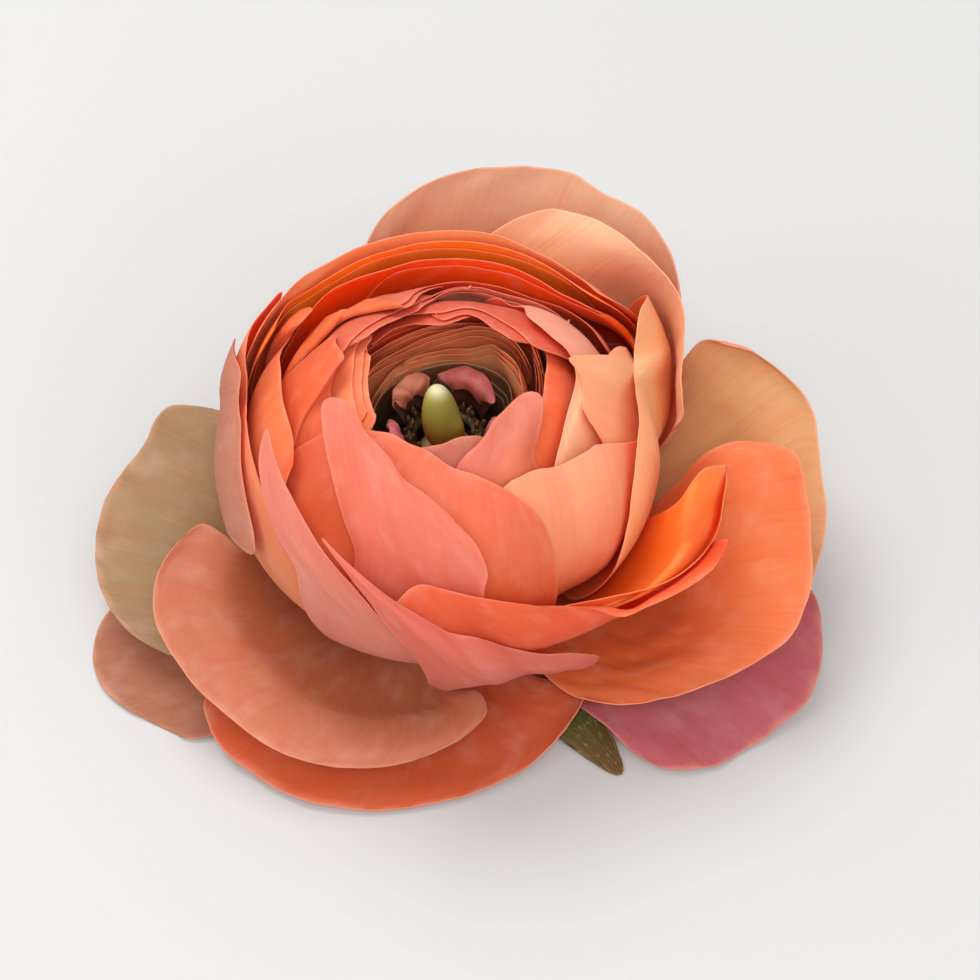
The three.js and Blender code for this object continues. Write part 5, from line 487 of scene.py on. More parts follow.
def plant_material(name, rough, spec, streak, speck, bump, scale=1.0):
    """Green tissue, stalk and cone: painted tint with streaks along the piece and small specks."""
    mat = bpy.data.materials.new(name)
    nt, N, L = nodes_of(mat)
    out = N.new("ShaderNodeOutputMaterial")
    tint = N.new("ShaderNodeAttribute"); tint.attribute_name = "tint"
    grain = N.new("ShaderNodeAttribute"); grain.attribute_name = "grain"
    m1 = N.new("ShaderNodeMapping"); m1.inputs["Scale"].default_value = (2.4 * scale, 0.16 * scale, 1.0)
    L.new(grain.outputs["Vector"], m1.inputs["Vector"])
    v1 = N.new("ShaderNodeTexNoise"); v1.inputs["Scale"].default_value = 1.0; v1.inputs["Detail"].default_value = 3.0
    L.new(m1.outputs["Vector"], v1.inputs["Vector"])
    m2 = N.new("ShaderNodeMapping"); m2.inputs["Scale"].default_value = (1.6 * scale, 1.6 * scale, 1.0)
    L.new(grain.outputs["Vector"], m2.inputs["Vector"])
    v2 = N.new("ShaderNodeTexNoise"); v2.inputs["Scale"].default_value = 1.0; v2.inputs["Detail"].default_value = 4.0
    L.new(m2.outputs["Vector"], v2.inputs["Vector"])
    r1 = N.new("ShaderNodeMapRange"); r1.inputs["From Min"].default_value = 0.42; r1.inputs["From Max"].default_value = 0.68
    r1.inputs["To Max"].default_value = streak
    L.new(v1.outputs["Fac"], r1.inputs["Value"])
    x1 = N.new("ShaderNodeMix"); x1.data_type = "RGBA"; x1.blend_type = "MULTIPLY"
    L.new(r1.outputs["Result"], x1.inputs[0]); L.new(tint.outputs["Color"], x1.inputs[6])
    x1.inputs[7].default_value = (0.62, 0.66, 0.45, 1)
    r2 = N.new("ShaderNodeMapRange"); r2.inputs["From Min"].default_value = 0.55; r2.inputs["From Max"].default_value = 0.75
    r2.inputs["To Max"].default_value = speck
    L.new(v2.outputs["Fac"], r2.inputs["Value"])
    x2 = N.new("ShaderNodeMix"); x2.data_type = "RGBA"; x2.blend_type = "MIX"
    L.new(r2.outputs["Result"], x2.inputs[0]); L.new(x1.outputs[2], x2.inputs[6])
    x2.inputs[7].default_value = (0.50, 0.46, 0.20, 1)
    ps = N.new("ShaderNodeBsdfPrincipled")
    L.new(x2.outputs[2], ps.inputs["Base Color"])
    r3 = N.new("ShaderNodeMapRange"); r3.inputs["From Min"].default_value = 0.3; r3.inputs["From Max"].default_value = 0.7
    r3.inputs["To Min"].default_value = rough - 0.07; r3.inputs["To Max"].default_value = rough + 0.1
    L.new(v2.outputs["Fac"], r3.inputs["Value"]); L.new(r3.outputs["Result"], ps.inputs["Roughness"])
    ps.inputs["Specular IOR Level"].default_value = spec
    bp = N.new("ShaderNodeBump"); bp.inputs["Strength"].default_value = bump; bp.inputs["Distance"].default_value = 0.00015
    L.new(v1.outputs["Fac"], bp.inputs["Height"]); L.new(bp.outputs["Normal"], ps.inputs["Normal"])
    L.new(ps.outputs[0], out.inputs["Surface"])
    return mat


MATS = {
    "petal_coral": petal_material("petal_coral", 0.58, 0.24, 0.02, 0.40, 0.30, 0.30),
    "petal_outer_guard": petal_material("petal_outer_guard", 0.60, 0.24, 0.03, 0.34, 0.40, 0.40),
    "throat_tan": petal_material("throat_tan", 0.64, 0.20, 0.02, 0.46, 0.40, 0.45),
    "heart_pink": petal_material("heart_pink", 0.45, 0.36, 0.03, 0.20, 0.35, 0.4),
    "carpel_olive": plant_material("carpel_olive", 0.46, 0.4, 0.18, 0.16, 0.16),
    "green_stem": plant_material("green_stem", 0.55, 0.4, 0.55, 0.35, 0.6),
}

# ------------------------------------------------------------------ petals --
# colours, sRGB: outer face at claw, middle, margin; inner face at claw, middle, margin; the painted highlight on the
# thin rim
PALETTE = {
    "dome": ((240, 92, 30), (250, 132, 84), (250, 142, 108), (228, 70, 16), (246, 104, 44), (248, 132, 84), (253, 184, 152)),
    "cup": ((238, 104, 44), (242, 134, 94), (246, 142, 108), (222, 66, 10), (246, 108, 34), (250, 132, 66), (253, 186, 150)),
    "throat": ((226, 120, 50), (236, 146, 84), (240, 160, 104), (150, 92, 36), (222, 152, 84), (242, 174, 116), (252, 204, 150)),
    "guard": ((214, 116, 64), (236, 150, 108), (240, 160, 122), (200, 84, 30), (240, 142, 92), (244, 162, 118), (250, 196, 162)),
    "sepal": ((96, 100, 44), (112, 104, 46), (120, 84, 44), (104, 108, 52), (120, 116, 60), (128, 92, 50), (150, 90, 70)),
}
# pieces that stray from their family: any of the seven colours by name. Many of them carry painted shade and painted
# light: faces that sit in shade are painted darker, and faces deep in crevices are painted brighter, as marked below
OUT0, OUT1, OUT2, IN0, IN1, IN2, EDGE_HIGHLIGHT = range(7)
TUNE_COLOUR_SHADE_AND_LIGHT = {
    "B1": {OUT0: (220, 76, 24), OUT1: (230, 110, 68), OUT2: (232, 130, 100), IN0: (244, 80, 28), IN1: (246, 108, 50), IN2: (246, 124, 70)},
    # B2, B3 and B4: inner faces painted very pale, painted light on faces that sit deep in the crevices between the
    # dome petals
    "B2": {OUT0: (222, 76, 22), OUT1: (230, 108, 64), OUT2: (230, 120, 88), IN0: (250, 118, 70), IN1: (254, 180, 140), IN2: (254, 200, 168)},
    "B3": {OUT0: (218, 80, 46), OUT1: (226, 100, 68), OUT2: (228, 112, 82), IN0: (246, 110, 60), IN1: (254, 170, 120), IN2: (254, 182, 140)},
    "B4": {OUT0: (244, 90, 24), OUT1: (250, 136, 82), OUT2: (250, 154, 104), IN0: (236, 90, 46), IN1: (254, 140, 96), IN2: (254, 156, 120)},
    "F0": {OUT0: (196, 76, 26), OUT1: (202, 112, 78), OUT2: (202, 120, 100)},
    "F2": {OUT0: (210, 100, 62), OUT1: (218, 120, 98), OUT2: (226, 124, 104), IN0: (214, 96, 60), IN1: (236, 120, 84), IN2: (240, 132, 104)},
    # guards: the inner claws are painted deep red-brown, painted shade under and beside the ball; G1, G2, G3, G4 and G9
    # are painted darker and duller (G4 and G9 on the outer face too), painted shade; G5, G6 and G7 have pale inner
    # faces, painted light standing in for a glow through the petals
    "G1": {IN0: (168, 58, 20), IN1: (192, 112, 74), IN2: (204, 128, 96)},
    "G2": {IN0: (176, 56, 16), IN1: (202, 90, 50), IN2: (214, 104, 64)},
    "G3": {IN0: (150, 68, 24), IN1: (160, 130, 90), IN2: (164, 134, 98)},
    "G4": {OUT1: (196, 124, 104), IN0: (168, 72, 22), IN1: (174, 114, 80), IN2: (176, 118, 90)},
    "G5": {IN0: (180, 88, 34), IN1: (220, 162, 122), IN2: (222, 180, 144)},
    "G6": {IN0: (252, 144, 70), IN1: (252, 198, 142), IN2: (252, 218, 174)},
    "G7": {IN0: (194, 98, 36), IN1: (220, 172, 114), IN2: (226, 184, 128)},
    "G8": {IN0: (208, 80, 28), IN1: (228, 112, 60), IN2: (236, 134, 82)},
    "G9": {OUT1: (204, 106, 108), IN0: (176, 82, 28), IN1: (188, 110, 108), IN2: (196, 106, 114)},
    "L1": {OUT0: (184, 116, 76), OUT1: (188, 134, 102), OUT2: (200, 134, 106), IN0: (220, 100, 50), IN1: (240, 130, 80), IN2: (244, 146, 104)},
    "L2": {OUT0: (226, 108, 46), OUT1: (226, 144, 100), OUT2: (234, 146, 104), IN0: (214, 84, 30), IN1: (240, 120, 60), IN2: (248, 136, 90)},
    "L3": {OUT0: (216, 116, 74), OUT1: (216, 140, 118), OUT2: (224, 142, 122)},
    "L4": {OUT0: (230, 96, 34), OUT1: (240, 126, 72), OUT2: (240, 134, 82)},
    "P0": {OUT0: (232, 78, 18), OUT1: (234, 104, 50), OUT2: (236, 118, 74)},
    "P1": {OUT0: (228, 104, 48), OUT1: (230, 124, 98), OUT2: (232, 134, 110)},
    "P2": {OUT0: (234, 96, 26), OUT1: (236, 118, 66), OUT2: (232, 124, 90)},
    "P3": {OUT0: (252, 114, 50), OUT1: (252, 160, 112), OUT2: (252, 176, 134)},
    "P4": {OUT0: (220, 88, 28), OUT1: (232, 136, 92), OUT2: (226, 132, 108)},
    # P5 and P6a: inner faces painted pale, painted light on faces hidden in the crevices
    "P5": {OUT0: (242, 82, 24), OUT1: (248, 114, 52), OUT2: (248, 128, 80), IN0: (240, 110, 80), IN1: (254, 168, 136), IN2: (254, 178, 150)},
    "P6a": {OUT0: (236, 90, 28), OUT1: (248, 162, 130), OUT2: (248, 182, 152), IN0: (250, 110, 60), IN1: (254, 170, 130), IN2: (254, 180, 144)},
    "P6b": {OUT0: (252, 138, 76), OUT1: (252, 194, 146), OUT2: (252, 206, 160)},
    "P7": {OUT0: (254, 122, 54), OUT1: (254, 184, 130), OUT2: (254, 192, 140)},
    "R1": {OUT0: (228, 78, 28), OUT1: (232, 104, 62), OUT2: (236, 110, 68), IN0: (226, 70, 14), IN1: (240, 98, 44), IN2: (242, 112, 66)},
    "R2": {OUT0: (254, 156, 40), OUT1: (254, 158, 76), OUT2: (254, 164, 86), IN0: (232, 80, 6), IN1: (254, 132, 40), IN2: (254, 160, 80)},
    "RO1": {OUT0: (248, 116, 44), OUT1: (254, 182, 116), OUT2: (254, 204, 146), IN0: (236, 100, 24), IN1: (254, 136, 60), IN2: (254, 166, 104)},
    "S1": {IN0: (70, 84, 34), IN1: (72, 92, 40), IN2: (96, 72, 34)},
    # T1 and T2: inner faces painted bright, painted light standing in for light shining through the cups; T3: its own
    # orange-red inner face pushed to a deep red, painted shade of the deep crevice behind the dome
    "T1": {IN0: (232, 88, 14), IN1: (250, 164, 62), IN2: (250, 210, 144)},
    "T2": {OUT0: (254, 102, 20), OUT1: (254, 132, 50), OUT2: (254, 142, 58), IN0: (254, 62, 0), IN1: (254, 112, 8), IN2: (254, 160, 34)},
    "T3": {IN0: (248, 36, 0), IN1: (250, 66, 2), IN2: (250, 96, 12)},
    # throat: W1 and W6 inner faces painted near black and W7's darker, painted shade of the deep throat; W2, W3, W4 and
    # W5 inner faces painted bright, painted light standing in for the glow in the throat's crevices; the rim colours of
    # W1 to W5 are painted highlights on their lit margins
    "W1": {IN0: (40, 26, 12), IN1: (84, 58, 26), IN2: (160, 122, 70), EDGE_HIGHLIGHT: (206, 208, 168)},
    "W2": {IN0: (200, 104, 46), IN1: (250, 176, 106), IN2: (254, 192, 130), EDGE_HIGHLIGHT: (252, 206, 144)},
    "W3": {IN0: (220, 104, 50), IN1: (254, 164, 98), IN2: (254, 176, 118), EDGE_HIGHLIGHT: (252, 190, 136)},
    "W4": {IN0: (240, 100, 50), IN1: (254, 160, 96), IN2: (254, 170, 110), EDGE_HIGHLIGHT: (252, 176, 126)},
    "W5": {IN0: (240, 70, 30), IN1: (254, 96, 46), IN2: (254, 112, 66), EDGE_HIGHLIGHT: (252, 140, 100)},
    "W6": {IN0: (34, 22, 14), IN1: (60, 38, 22), IN2: (110, 80, 50)},
    "W7": {IN0: (120, 76, 36), IN1: (190, 130, 70), IN2: (226, 170, 110)},
}


def class_of(key):
    if key in ("F0", "F2"): return {"F0": "dome", "F2": "cup"}[key]
    return {"W": "throat", "H": "dome", "P": "dome", "B": "dome", "T": "cup", "L": "cup", "R": "cup",
            "G": "guard", "S": "sepal"}[key[0]]


# radius of the rounded corners at the margin, left and right, in millimetres
CORNER = {"throat": (3.0, 3.0), "dome": (2.2, 2.2), "cup": (2.6, 2.6), "guard": (3.5, 3.5), "sepal": (0.8, 0.8)}
CORNERS = {"P0": (1.2, 3.0), "F2": (1.4, 2.4), "P6b": (2.0, 3.0), "P7": (5.0, 9.0), "RO1": (7.0, 2.0), "L3": (1.2, 2.0),
           "L4": (2.2, 3.0), "R2": (3.0, 3.0), "R1": (2.0, 3.0), "P1": (1.8, 2.5), "P3": (2.0, 1.2), "L1": (1.4, 1.4), "G5": (7.0, 8.0), "G6": (6.0, 6.0), "T1": (4.0, 4.0), "T2": (4.0, 4.0)}


def dense(p, n=181, m=141):
    return petal_points(p, np.linspace(0, 1, n), np.linspace(0, 1, m))


def sample(D, a, t):
    """Points of the dense grid D at scattered a, t; a little beyond 1 the sheet runs straight on."""
    n, m = D.shape[:2]
    x, y = np.clip(a, 0, 1) * (n - 1), np.clip(t, 0, 1) * (m - 1)
    i, j = np.minimum(x.astype(int), n - 2), np.minimum(y.astype(int), m - 2)
    u, v = (x - i)[..., None], (y - j)[..., None]
    P = (D[i, j] * (1 - u) + D[i + 1, j] * u) * (1 - v) + (D[i, j + 1] * (1 - u) + D[i + 1, j + 1] * u) * v
    over = np.maximum(t - 1, 0)[..., None] * (m - 1) / 4
    return P + (D[i, -1] - D[i, -5]) * over


SLANT = {"L3": (0.24, 0.46, 0.70), "F2": (0.07, 0.50, 0.80)}


def sheet(p, seed, kind, offset=0.0, top=1.0, span=(0.0, 1.0), wig=1.0, foot=0.0, fine=1.0, corners=None, roll=0.0):
    """One leaf of a petal: points, faces, tint and grain. offset moves it along its normal, top says how far up
    the petal it reaches, span which part of its width it takes."""
    D = dense(p)
    wide = np.linalg.norm(np.diff(D, axis=0), axis=-1).sum(0).max() * (span[1] - span[0])
    tall = np.linalg.norm(np.diff(D, axis=1), axis=-1).sum(1).max() * (top - foot)
    na, nt_ = int(np.clip(wide / 0.85 * fine, 16, 84)), int(np.clip(tall / 0.85 * fine, 14, 64))
    a, t = steps(na), steps(nt_)
    A, T = np.meshgrid(a, t, indexing="ij")
    # rounded corners at the margin: the square corner is drawn in to a quarter circle
    cl, cr_ = corners or CORNERS.get(p["key"], CORNER[kind])
    A2, T2 = A.copy(), T.copy()
    for side_, rad in ((0, cl), (1, cr_)):
        ra, rt = min(rad / wide, 0.48), min(rad / tall, 0.6)
        ex = np.clip(((ra - A) if side_ == 0 else (A - 1 + ra)) / ra, 0, 1)
        ey = np.clip((T - 1 + rt) / rt, 0, 1)
        nx, ny = ex * np.sqrt(1 - ey ** 2 / 2), ey * np.sqrt(1 - ex ** 2 / 2)
        A2 = A2 + (1 if side_ == 0 else -1) * (ex - nx) * ra
        T2 = T2 - (ey - ny) * rt
    if p["key"] in SLANT:   # the left side runs in at a slant, low down
        s0, s1, s2 = SLANT[p["key"]]
        A2 = A2 + s0 * (1 - smooth(T2, s1, s2)) * (1 - A2)
    x, y = A2 * wide, T2 * tall
    # the margin wanders in and out along the sheet
    w1, w2, w2b = Waves(seed * 3 + 1, 13.0), Waves(seed * 3 + 2, 5.0), Waves(seed * 5 + 2, 2.4)
    amount = {"throat": 0.55, "dome": 0.26, "cup": 0.26, "guard": 0.55, "sepal": 0.35}[kind] * wig
    fineness = {"throat": 0.16, "dome": 0.05, "cup": 0.03, "guard": 0.05, "sepal": 0.08}[kind] * wig
    cut = amount * (0.5 + 0.5 * (0.65 * w1(x, 0 * x) + 0.35 * w2(x, 0 * x + 5))) + fineness * (0.5 + 0.5 * w2b(x, 0 * x))
    T2 = T2 - np.clip(cut, 0, None) / tall * smooth(T, 0.75, 1.0)
    side_cut = amount * 0.6 * (0.5 + 0.5 * w1(y + 40, 0 * y)) / wide * smooth(T, 0.25, 0.6)
    A2 = A2 + side_cut * (smooth(1 - A, 0.85, 1.0) - smooth(A, 0.85, 1.0))
    G = sample(D, span[0] + A2 * (span[1] - span[0]), foot + T2 * (top - foot))
    n = grid_normals(G)
    # the sheet itself is never quite even: slow swells, and fine growth folds from claw to margin
    amp = {"throat": 0.09, "dome": 0.06, "cup": 0.08, "guard": 0.26, "sepal": 0.12}[kind]
    w3, w4, w5 = Waves(seed * 3 + 5, 12.0), Waves(seed * 3 + 6, 5.0), Waves(seed * 3 + 7, 2.6)
    swell = amp * (0.75 * w3(x, y) + 0.25 * w4(x * 1.4, y * 0.7))
    fold = {"throat": 0.030, "dome": 0.016, "cup": 0.020, "guard": 0.040, "sepal": 0.04}[kind] * w5(x, y * 0.08) * smooth(T, 0.15, 0.6)
    G = G + n * ((swell + fold) * smooth(T, 0.02, 0.2) + offset * smooth(T, 0.0, 0.12))[..., None]
    if roll: G = G + n * (roll * smooth(T, 0.86, 1.0) ** 2)[..., None]
    if p["key"] == "F2":   # its left flank lies closer to the petals behind it
        G = G - n * (1.25 * np.exp(-(A / 0.36) ** 2) * smooth(T, 0.38, 0.60) * (1 - smooth(T, 0.70, 0.97)))[..., None]
    margin = np.minimum(np.minimum(x, wide - x) * (0.25 + 0.75 * smooth(T, 0.1, 0.5)), tall - y)
    full = {"throat": 0.20, "dome": 0.22, "cup": 0.24, "guard": 0.36, "sepal": 0.50}[kind]
    thick = full * (0.48 + 0.52 * smooth(margin, 0.0, 2.4)) * (1.15 - 0.25 * T)
    if p["zc"] > 0: G[..., 2] = np.maximum(G[..., 2], -27.97 + thick / 2)   # nothing sinks into the surface it lies on
    V, F, place, side = shell_mesh(G, thick, 0.045)
    i, j = place[:, 0], place[:, 1]
    # colour on the points
    C = [lin(c) for c in PALETTE[kind]]
    for k, c in TUNE_COLOUR_SHADE_AND_LIGHT.get(p["key"], {}).items(): C[k] = lin(c)
    tg = foot + (top - foot) * T
    tt, mg = tg[i, j][:, None], margin[i, j][:, None]
    xx, yy = x[i, j], y[i, j]

    def along(c0, c1, c2):
        return c0 + (c1 - c0) * smooth(tt, 0.05, 0.62) + (c2 - c1) * smooth(tt, 0.62, 0.98)
    outer, inner = along(C[OUT0], C[OUT1], C[OUT2]), along(C[IN0], C[IN1], C[IN2])
    col = np.where(side[:, None] >= 0, outer, inner)
    w6, w7 = Waves(seed * 3 + 8, 17.0), Waves(seed * 3 + 9, 5.5)
    drift = (0.6 * w6(xx, yy) + 0.4 * w7(xx, yy * 0.5))[:, None]
    col = col * (1 + drift * np.array([0.010, 0.075, 0.09]))
    # the margins are painted paler towards the rim colour: a painted highlight along the lit edges, on the upper part
    # of the petal only
    rim = (1 - smooth(mg, 0.0, 0.55 + 0.35 * w7(xx * 1.3, yy)[:, None])) * EDGE_HIGHLIGHT_SHARE.get(p["key"], 0.30) * smooth(tt, 0.2, 0.6)
    col = col * (1 - rim) + C[EDGE_HIGHLIGHT] * rim
    grain = np.stack([xx + seed * 37.0, yy + foot * 20, np.full(len(xx), seed * 1.7)], -1)
    return V, F, col, grain


def join(parts):
    V, F, C, Gr, at = [], [], [], [], 0
    for v, f, c, g in parts:
        V.append(v); C.append(c); Gr.append(g)
        F += [[k + at for k in q] for q in f]
        at += len(v)
    return np.vstack(V), F, np.vstack(C), np.vstack(Gr)


# thin leaves that lie against a petal: (offset, top, span, foot)
LEAVES = {
    "W1": [(-0.34, 0.90, (0.02, 0.50), 0.5), (-0.62, 0.84, (0.05, 0.36), 0.5)],
    "W2": [(-0.33, 0.955, (0.03, 0.97), 0.5), (0.30, 1.045, (0.0, 1.0), 0.55)],
    "W3": [(-0.33, 0.95, (0.04, 0.96), 0.5), (0.30, 1.045, (0.0, 1.0), 0.55)],
    "W4": [(-0.33, 0.955, (0.05, 0.95), 0.5), (0.30, 1.05, (0.0, 1.0), 0.5), (0.62, 1.02, (0.0, 0.30), 0.45)],
    "W5": [(0.36, 1.04, (0.0, 1.0), 0.5)],
    "P5": [(-0.35, 0.99, (0.36, 0.98), 0.40), (-0.70, 0.97, (0.40, 0.98), 0.40), (-1.30, 0.95, (0.42, 0.98), 0.40), (-1.90, 0.92, (0.44, 0.98), 0.40)],
    "P7": [(0.20, 1.13, (0.06, 0.94), 0.5)],
    "B3": [(-0.36, 1.045, (0.05, 0.62), 0.5), (-0.75, 1.06, (0.40, 1.0), 0.5)],
    "B4": [(-0.36, 1.03, (0.0, 0.9), 0.5), (-0.75, 1.05, (0.15, 1.0), 0.5)],
    "B2": [(-0.34, 1.04, (0.25, 0.95), 0.5), (-0.62, 0.99, (0.0, 0.97), 0.80)],
    "B1": [(-0.34, 1.035, (0.35, 0.97), 0.5)],
    "T2": [(-0.34, 0.975, (0.1, 0.95), 0.5)],
    "T3": [(-0.34, 0.97, (0.05, 0.8), 0.5)],
}
# how strongly the painted highlight of the rim colour shows on the margin
EDGE_HIGHLIGHT_SHARE = {"W1": 0.85, "W2": 0.45, "W3": 0.45, "W4": 0.45}

# two petals that lie almost on each other keep a little more air
CLEAR = {"R1": 0.22, "R2": -0.22}

for k, p in enumerate(PETALS):
    kind = class_of(p["key"])
    parts = [sheet(p, k + 1, kind, CLEAR.get(p["key"], 0.0))]
    for m, (off, top, span, foot) in enumerate(LEAVES.get(p["key"], [])):
        parts.append(sheet(p, 200 + k * 4 + m, kind, off, top, span, 1.6, foot, corners=(3.0, 3.0)))
    make("skin_" + p["name"], *join(parts), MATS[p["slot"]], p["name"], p["slot"])


# ------------------------------------------------------ heart of the flower --
def petaloid(q, seed):
    """A small fleshy petaloid: it stands on the ring, and its top folds over towards the cone as a soft pad."""
    ni, nj = 33, 41
    s = np.linspace(-1, 1, ni)[:, None]
    t = np.linspace(0, 1, nj)[None]
    fold = {"petaloid_back_right": 2.35, "petaloid_back_left": 2.1, "petaloid_left": 1.5, "petaloid_front": 1.5, "petaloid_right": 1.7}[q["name"]]
    spread = q["half"] * {"petaloid_back_left": 0.86, "petaloid_left": 0.8}.get(q["name"], 0.94) * (0.55 + 0.45 * smooth(t, 0.0, 0.4)) * (1 - 0.42 * smooth(t, 0.62, 1.0))
    w, w2 = Waves(300 + seed, 2.6), Waves(340 + seed, 1.3)
    th = np.radians(q["az"] + spread * s + 5 * w(t * 4 + 7, s * 2))
    up = np.minimum(t / 0.5, 1)
    over = np.clip((t - 0.5) / 0.5, 0, 1)
    r = q["r0"] + (q["r1"] - q["r0"]) * np.sin(math.pi / 2 * up) - q["curl"] * s ** 2
    r = r - fold * np.sin(math.pi / 2 * over) * (1 - 0.42 * s ** 2) * (1 + 0.22 * w(s * 2.4 + 3, 0 * t)) + 0.16 * w(s * 3, t * 4)
    z = q["z0"] + (q["z1"] - q["z0"]) * np.sin(math.pi / 2 * up) * (1 - 0.10 * s ** 2)
    z = z - 1.5 * over ** 2 - 0.55 * smooth(np.abs(s), 0.45, 1.0) * (1 + over) + 0.26 * w(s * 3 + 9, t * 3) + 0.07 * w2(s * 3, t * 5)
    G = np.stack([CARPEL_AXIS[0] + r * np.cos(th), CARPEL_AXIS[1] + r * np.sin(th), z + 0 * s], -1)
    edge = np.minimum(1 - np.abs(s), 1.15 * (1 - t))
    thick = 0.20 + 0.26 * smooth(edge, 0.0, 0.35) * smooth(t, 0.35, 0.6)
    V, F, place, side = shell_mesh(G, thick, 0.10)
    i, j = place[:, 0], place[:, 1]
    tt, ss = t[0, j][:, None], s[i, 0][:, None]
    # the petaloids are painted dark brown at their feet, fading to pink above: painted shade deep in the heart
    low, mid, top = lin((84, 40, 30)), lin((188, 98, 92)), lin((168, 82, 72))
    if q["name"] == "petaloid_back_left": mid, top = lin((206, 128, 100)), lin((186, 108, 78))
    if q["name"] in ("petaloid_left", "petaloid_front"): mid, top = lin((214, 116, 120)), lin((190, 92, 94))
    col = low + (mid - low) * smooth(tt, 0.12, 0.5) + (top - mid) * smooth(tt, 0.6, 1)
    col = col * (1 + 0.16 * w(ss[:, 0] * 5, tt[:, 0] * 5)[:, None])
    grain = np.stack([ss[:, 0] * 4 + seed * 11, tt[:, 0] * 8, np.full(len(ss), seed)], -1)
    make("skin_" + q["name"], V, F, col, grain, MATS["heart_pink"], q["name"], "heart_pink")


for k, q in enumerate(PETALOIDS):
    petaloid(q, k + 1)


def turned(name, node, slot, profile, segs, colour, wob=None, cx=0.0, cy=0.0, sub=6, lean=0.0):
    """A body of revolution with smooth profile and seeded unevenness. colour(u, s) gives the tint."""
    prof = np.array(profile, float)
    u = np.linspace(0, len(prof) - 1, (len(prof) - 1) * sub + 1)
    q = spline(prof, u)
    q[:, 0] = np.maximum(q[:, 0], 0)
    q[0, 0] = prof[0, 0]; q[-1, 0] = prof[-1, 0]
    ang = np.linspace(0, 2 * math.pi, segs, endpoint=False)
    verts, rings = [], []
    for k, (r, z) in enumerate(q):
        if r < 1e-6:
            rings.append([len(verts)]); verts.append((cx, cy, z, k, 0.0)); continue
        ring = []
        for s in ang:
            rr = r * (1 + (wob(s, z, r) if wob else 0))
            ring.append(len(verts)); verts.append((cx + rr * math.cos(s), cy + rr * math.sin(s), z, k, s))
        rings.append(ring)
    faces = []
    for lo, hi in zip(rings[:-1], rings[1:]):
        for s in range(segs):
            m = (s + 1) % segs
            if len(lo) == 1: faces.append([lo[0], hi[m], hi[s]])
            elif len(hi) == 1: faces.append([lo[s], lo[m], hi[0]])
            else: faces.append([lo[s], lo[m], hi[m], hi[s]])
    v = np.array(verts)
    v[:, 0] += lean * (v[:, 2] - prof[0, 1])
    tint = np.array([colour(kk / (len(q) - 1), s, z) for kk, s, z in zip(v[:, 3], v[:, 4], v[:, 2])])
    rmax = q[:, 0].max()
    grain = np.stack([v[:, 4] * rmax, v[:, 2], np.zeros(len(v))], -1)
    return make(name, v[:, :3], faces, tint, grain, MATS[slot], node, slot)


# seed cone: smooth, egg shaped, pale blunt tip, warm olive foot, shallow ribs where its carpels press together
def cone_colour_with_side_shade(u, s, z):
    foot, body, tip = lin((184, 112, 28)), lin((180, 168, 78)), lin((204, 196, 156))
    f = smooth(z, 4.0, 9.4); g = smooth(z, 11.2, 13.3)
    c = foot + (body - foot) * f + (tip - body) * g
    # one side of the cone, towards the front right, is painted up to a third darker, fading out at the tip: painted
    # shade
    side = 0.5 + 0.5 * math.cos(s - math.radians(-15))
    return c * (1 - np.array([0.36, 0.30, 0.40]) * side * (1 - g))


def cone_wob(s, z, r):
    k = float(smooth(z, 3.0, 5.0) * (1 - smooth(z, 9.0, 12.0)))
    lobe = math.exp(-((s - math.radians(330) + math.pi) % (2 * math.pi) - math.pi) ** 2 / 0.22) * float(smooth(z, 3.0, 4.5) * (1 - smooth(z, 6.5, 9.0)))
    return 0.006 * k * math.cos(7 * s + 0.5 * z) + 0.02 * math.cos(2 * s + 0.7) + 0.24 * lobe


turned("skin_carpel_cone", "carpel_cone", "carpel_olive",
       [(0, 2.5), (1.3, 2.6), (2.15, 3.6), (2.42, 5.2), (2.40, 7.2), (2.12, 9.3), (1.66, 11.2), (0.96, 12.6), (0, 13.3)],
       72, cone_colour_with_side_shade, cone_wob, *CARPEL_AXIS, lean=CARPEL_LEAN)


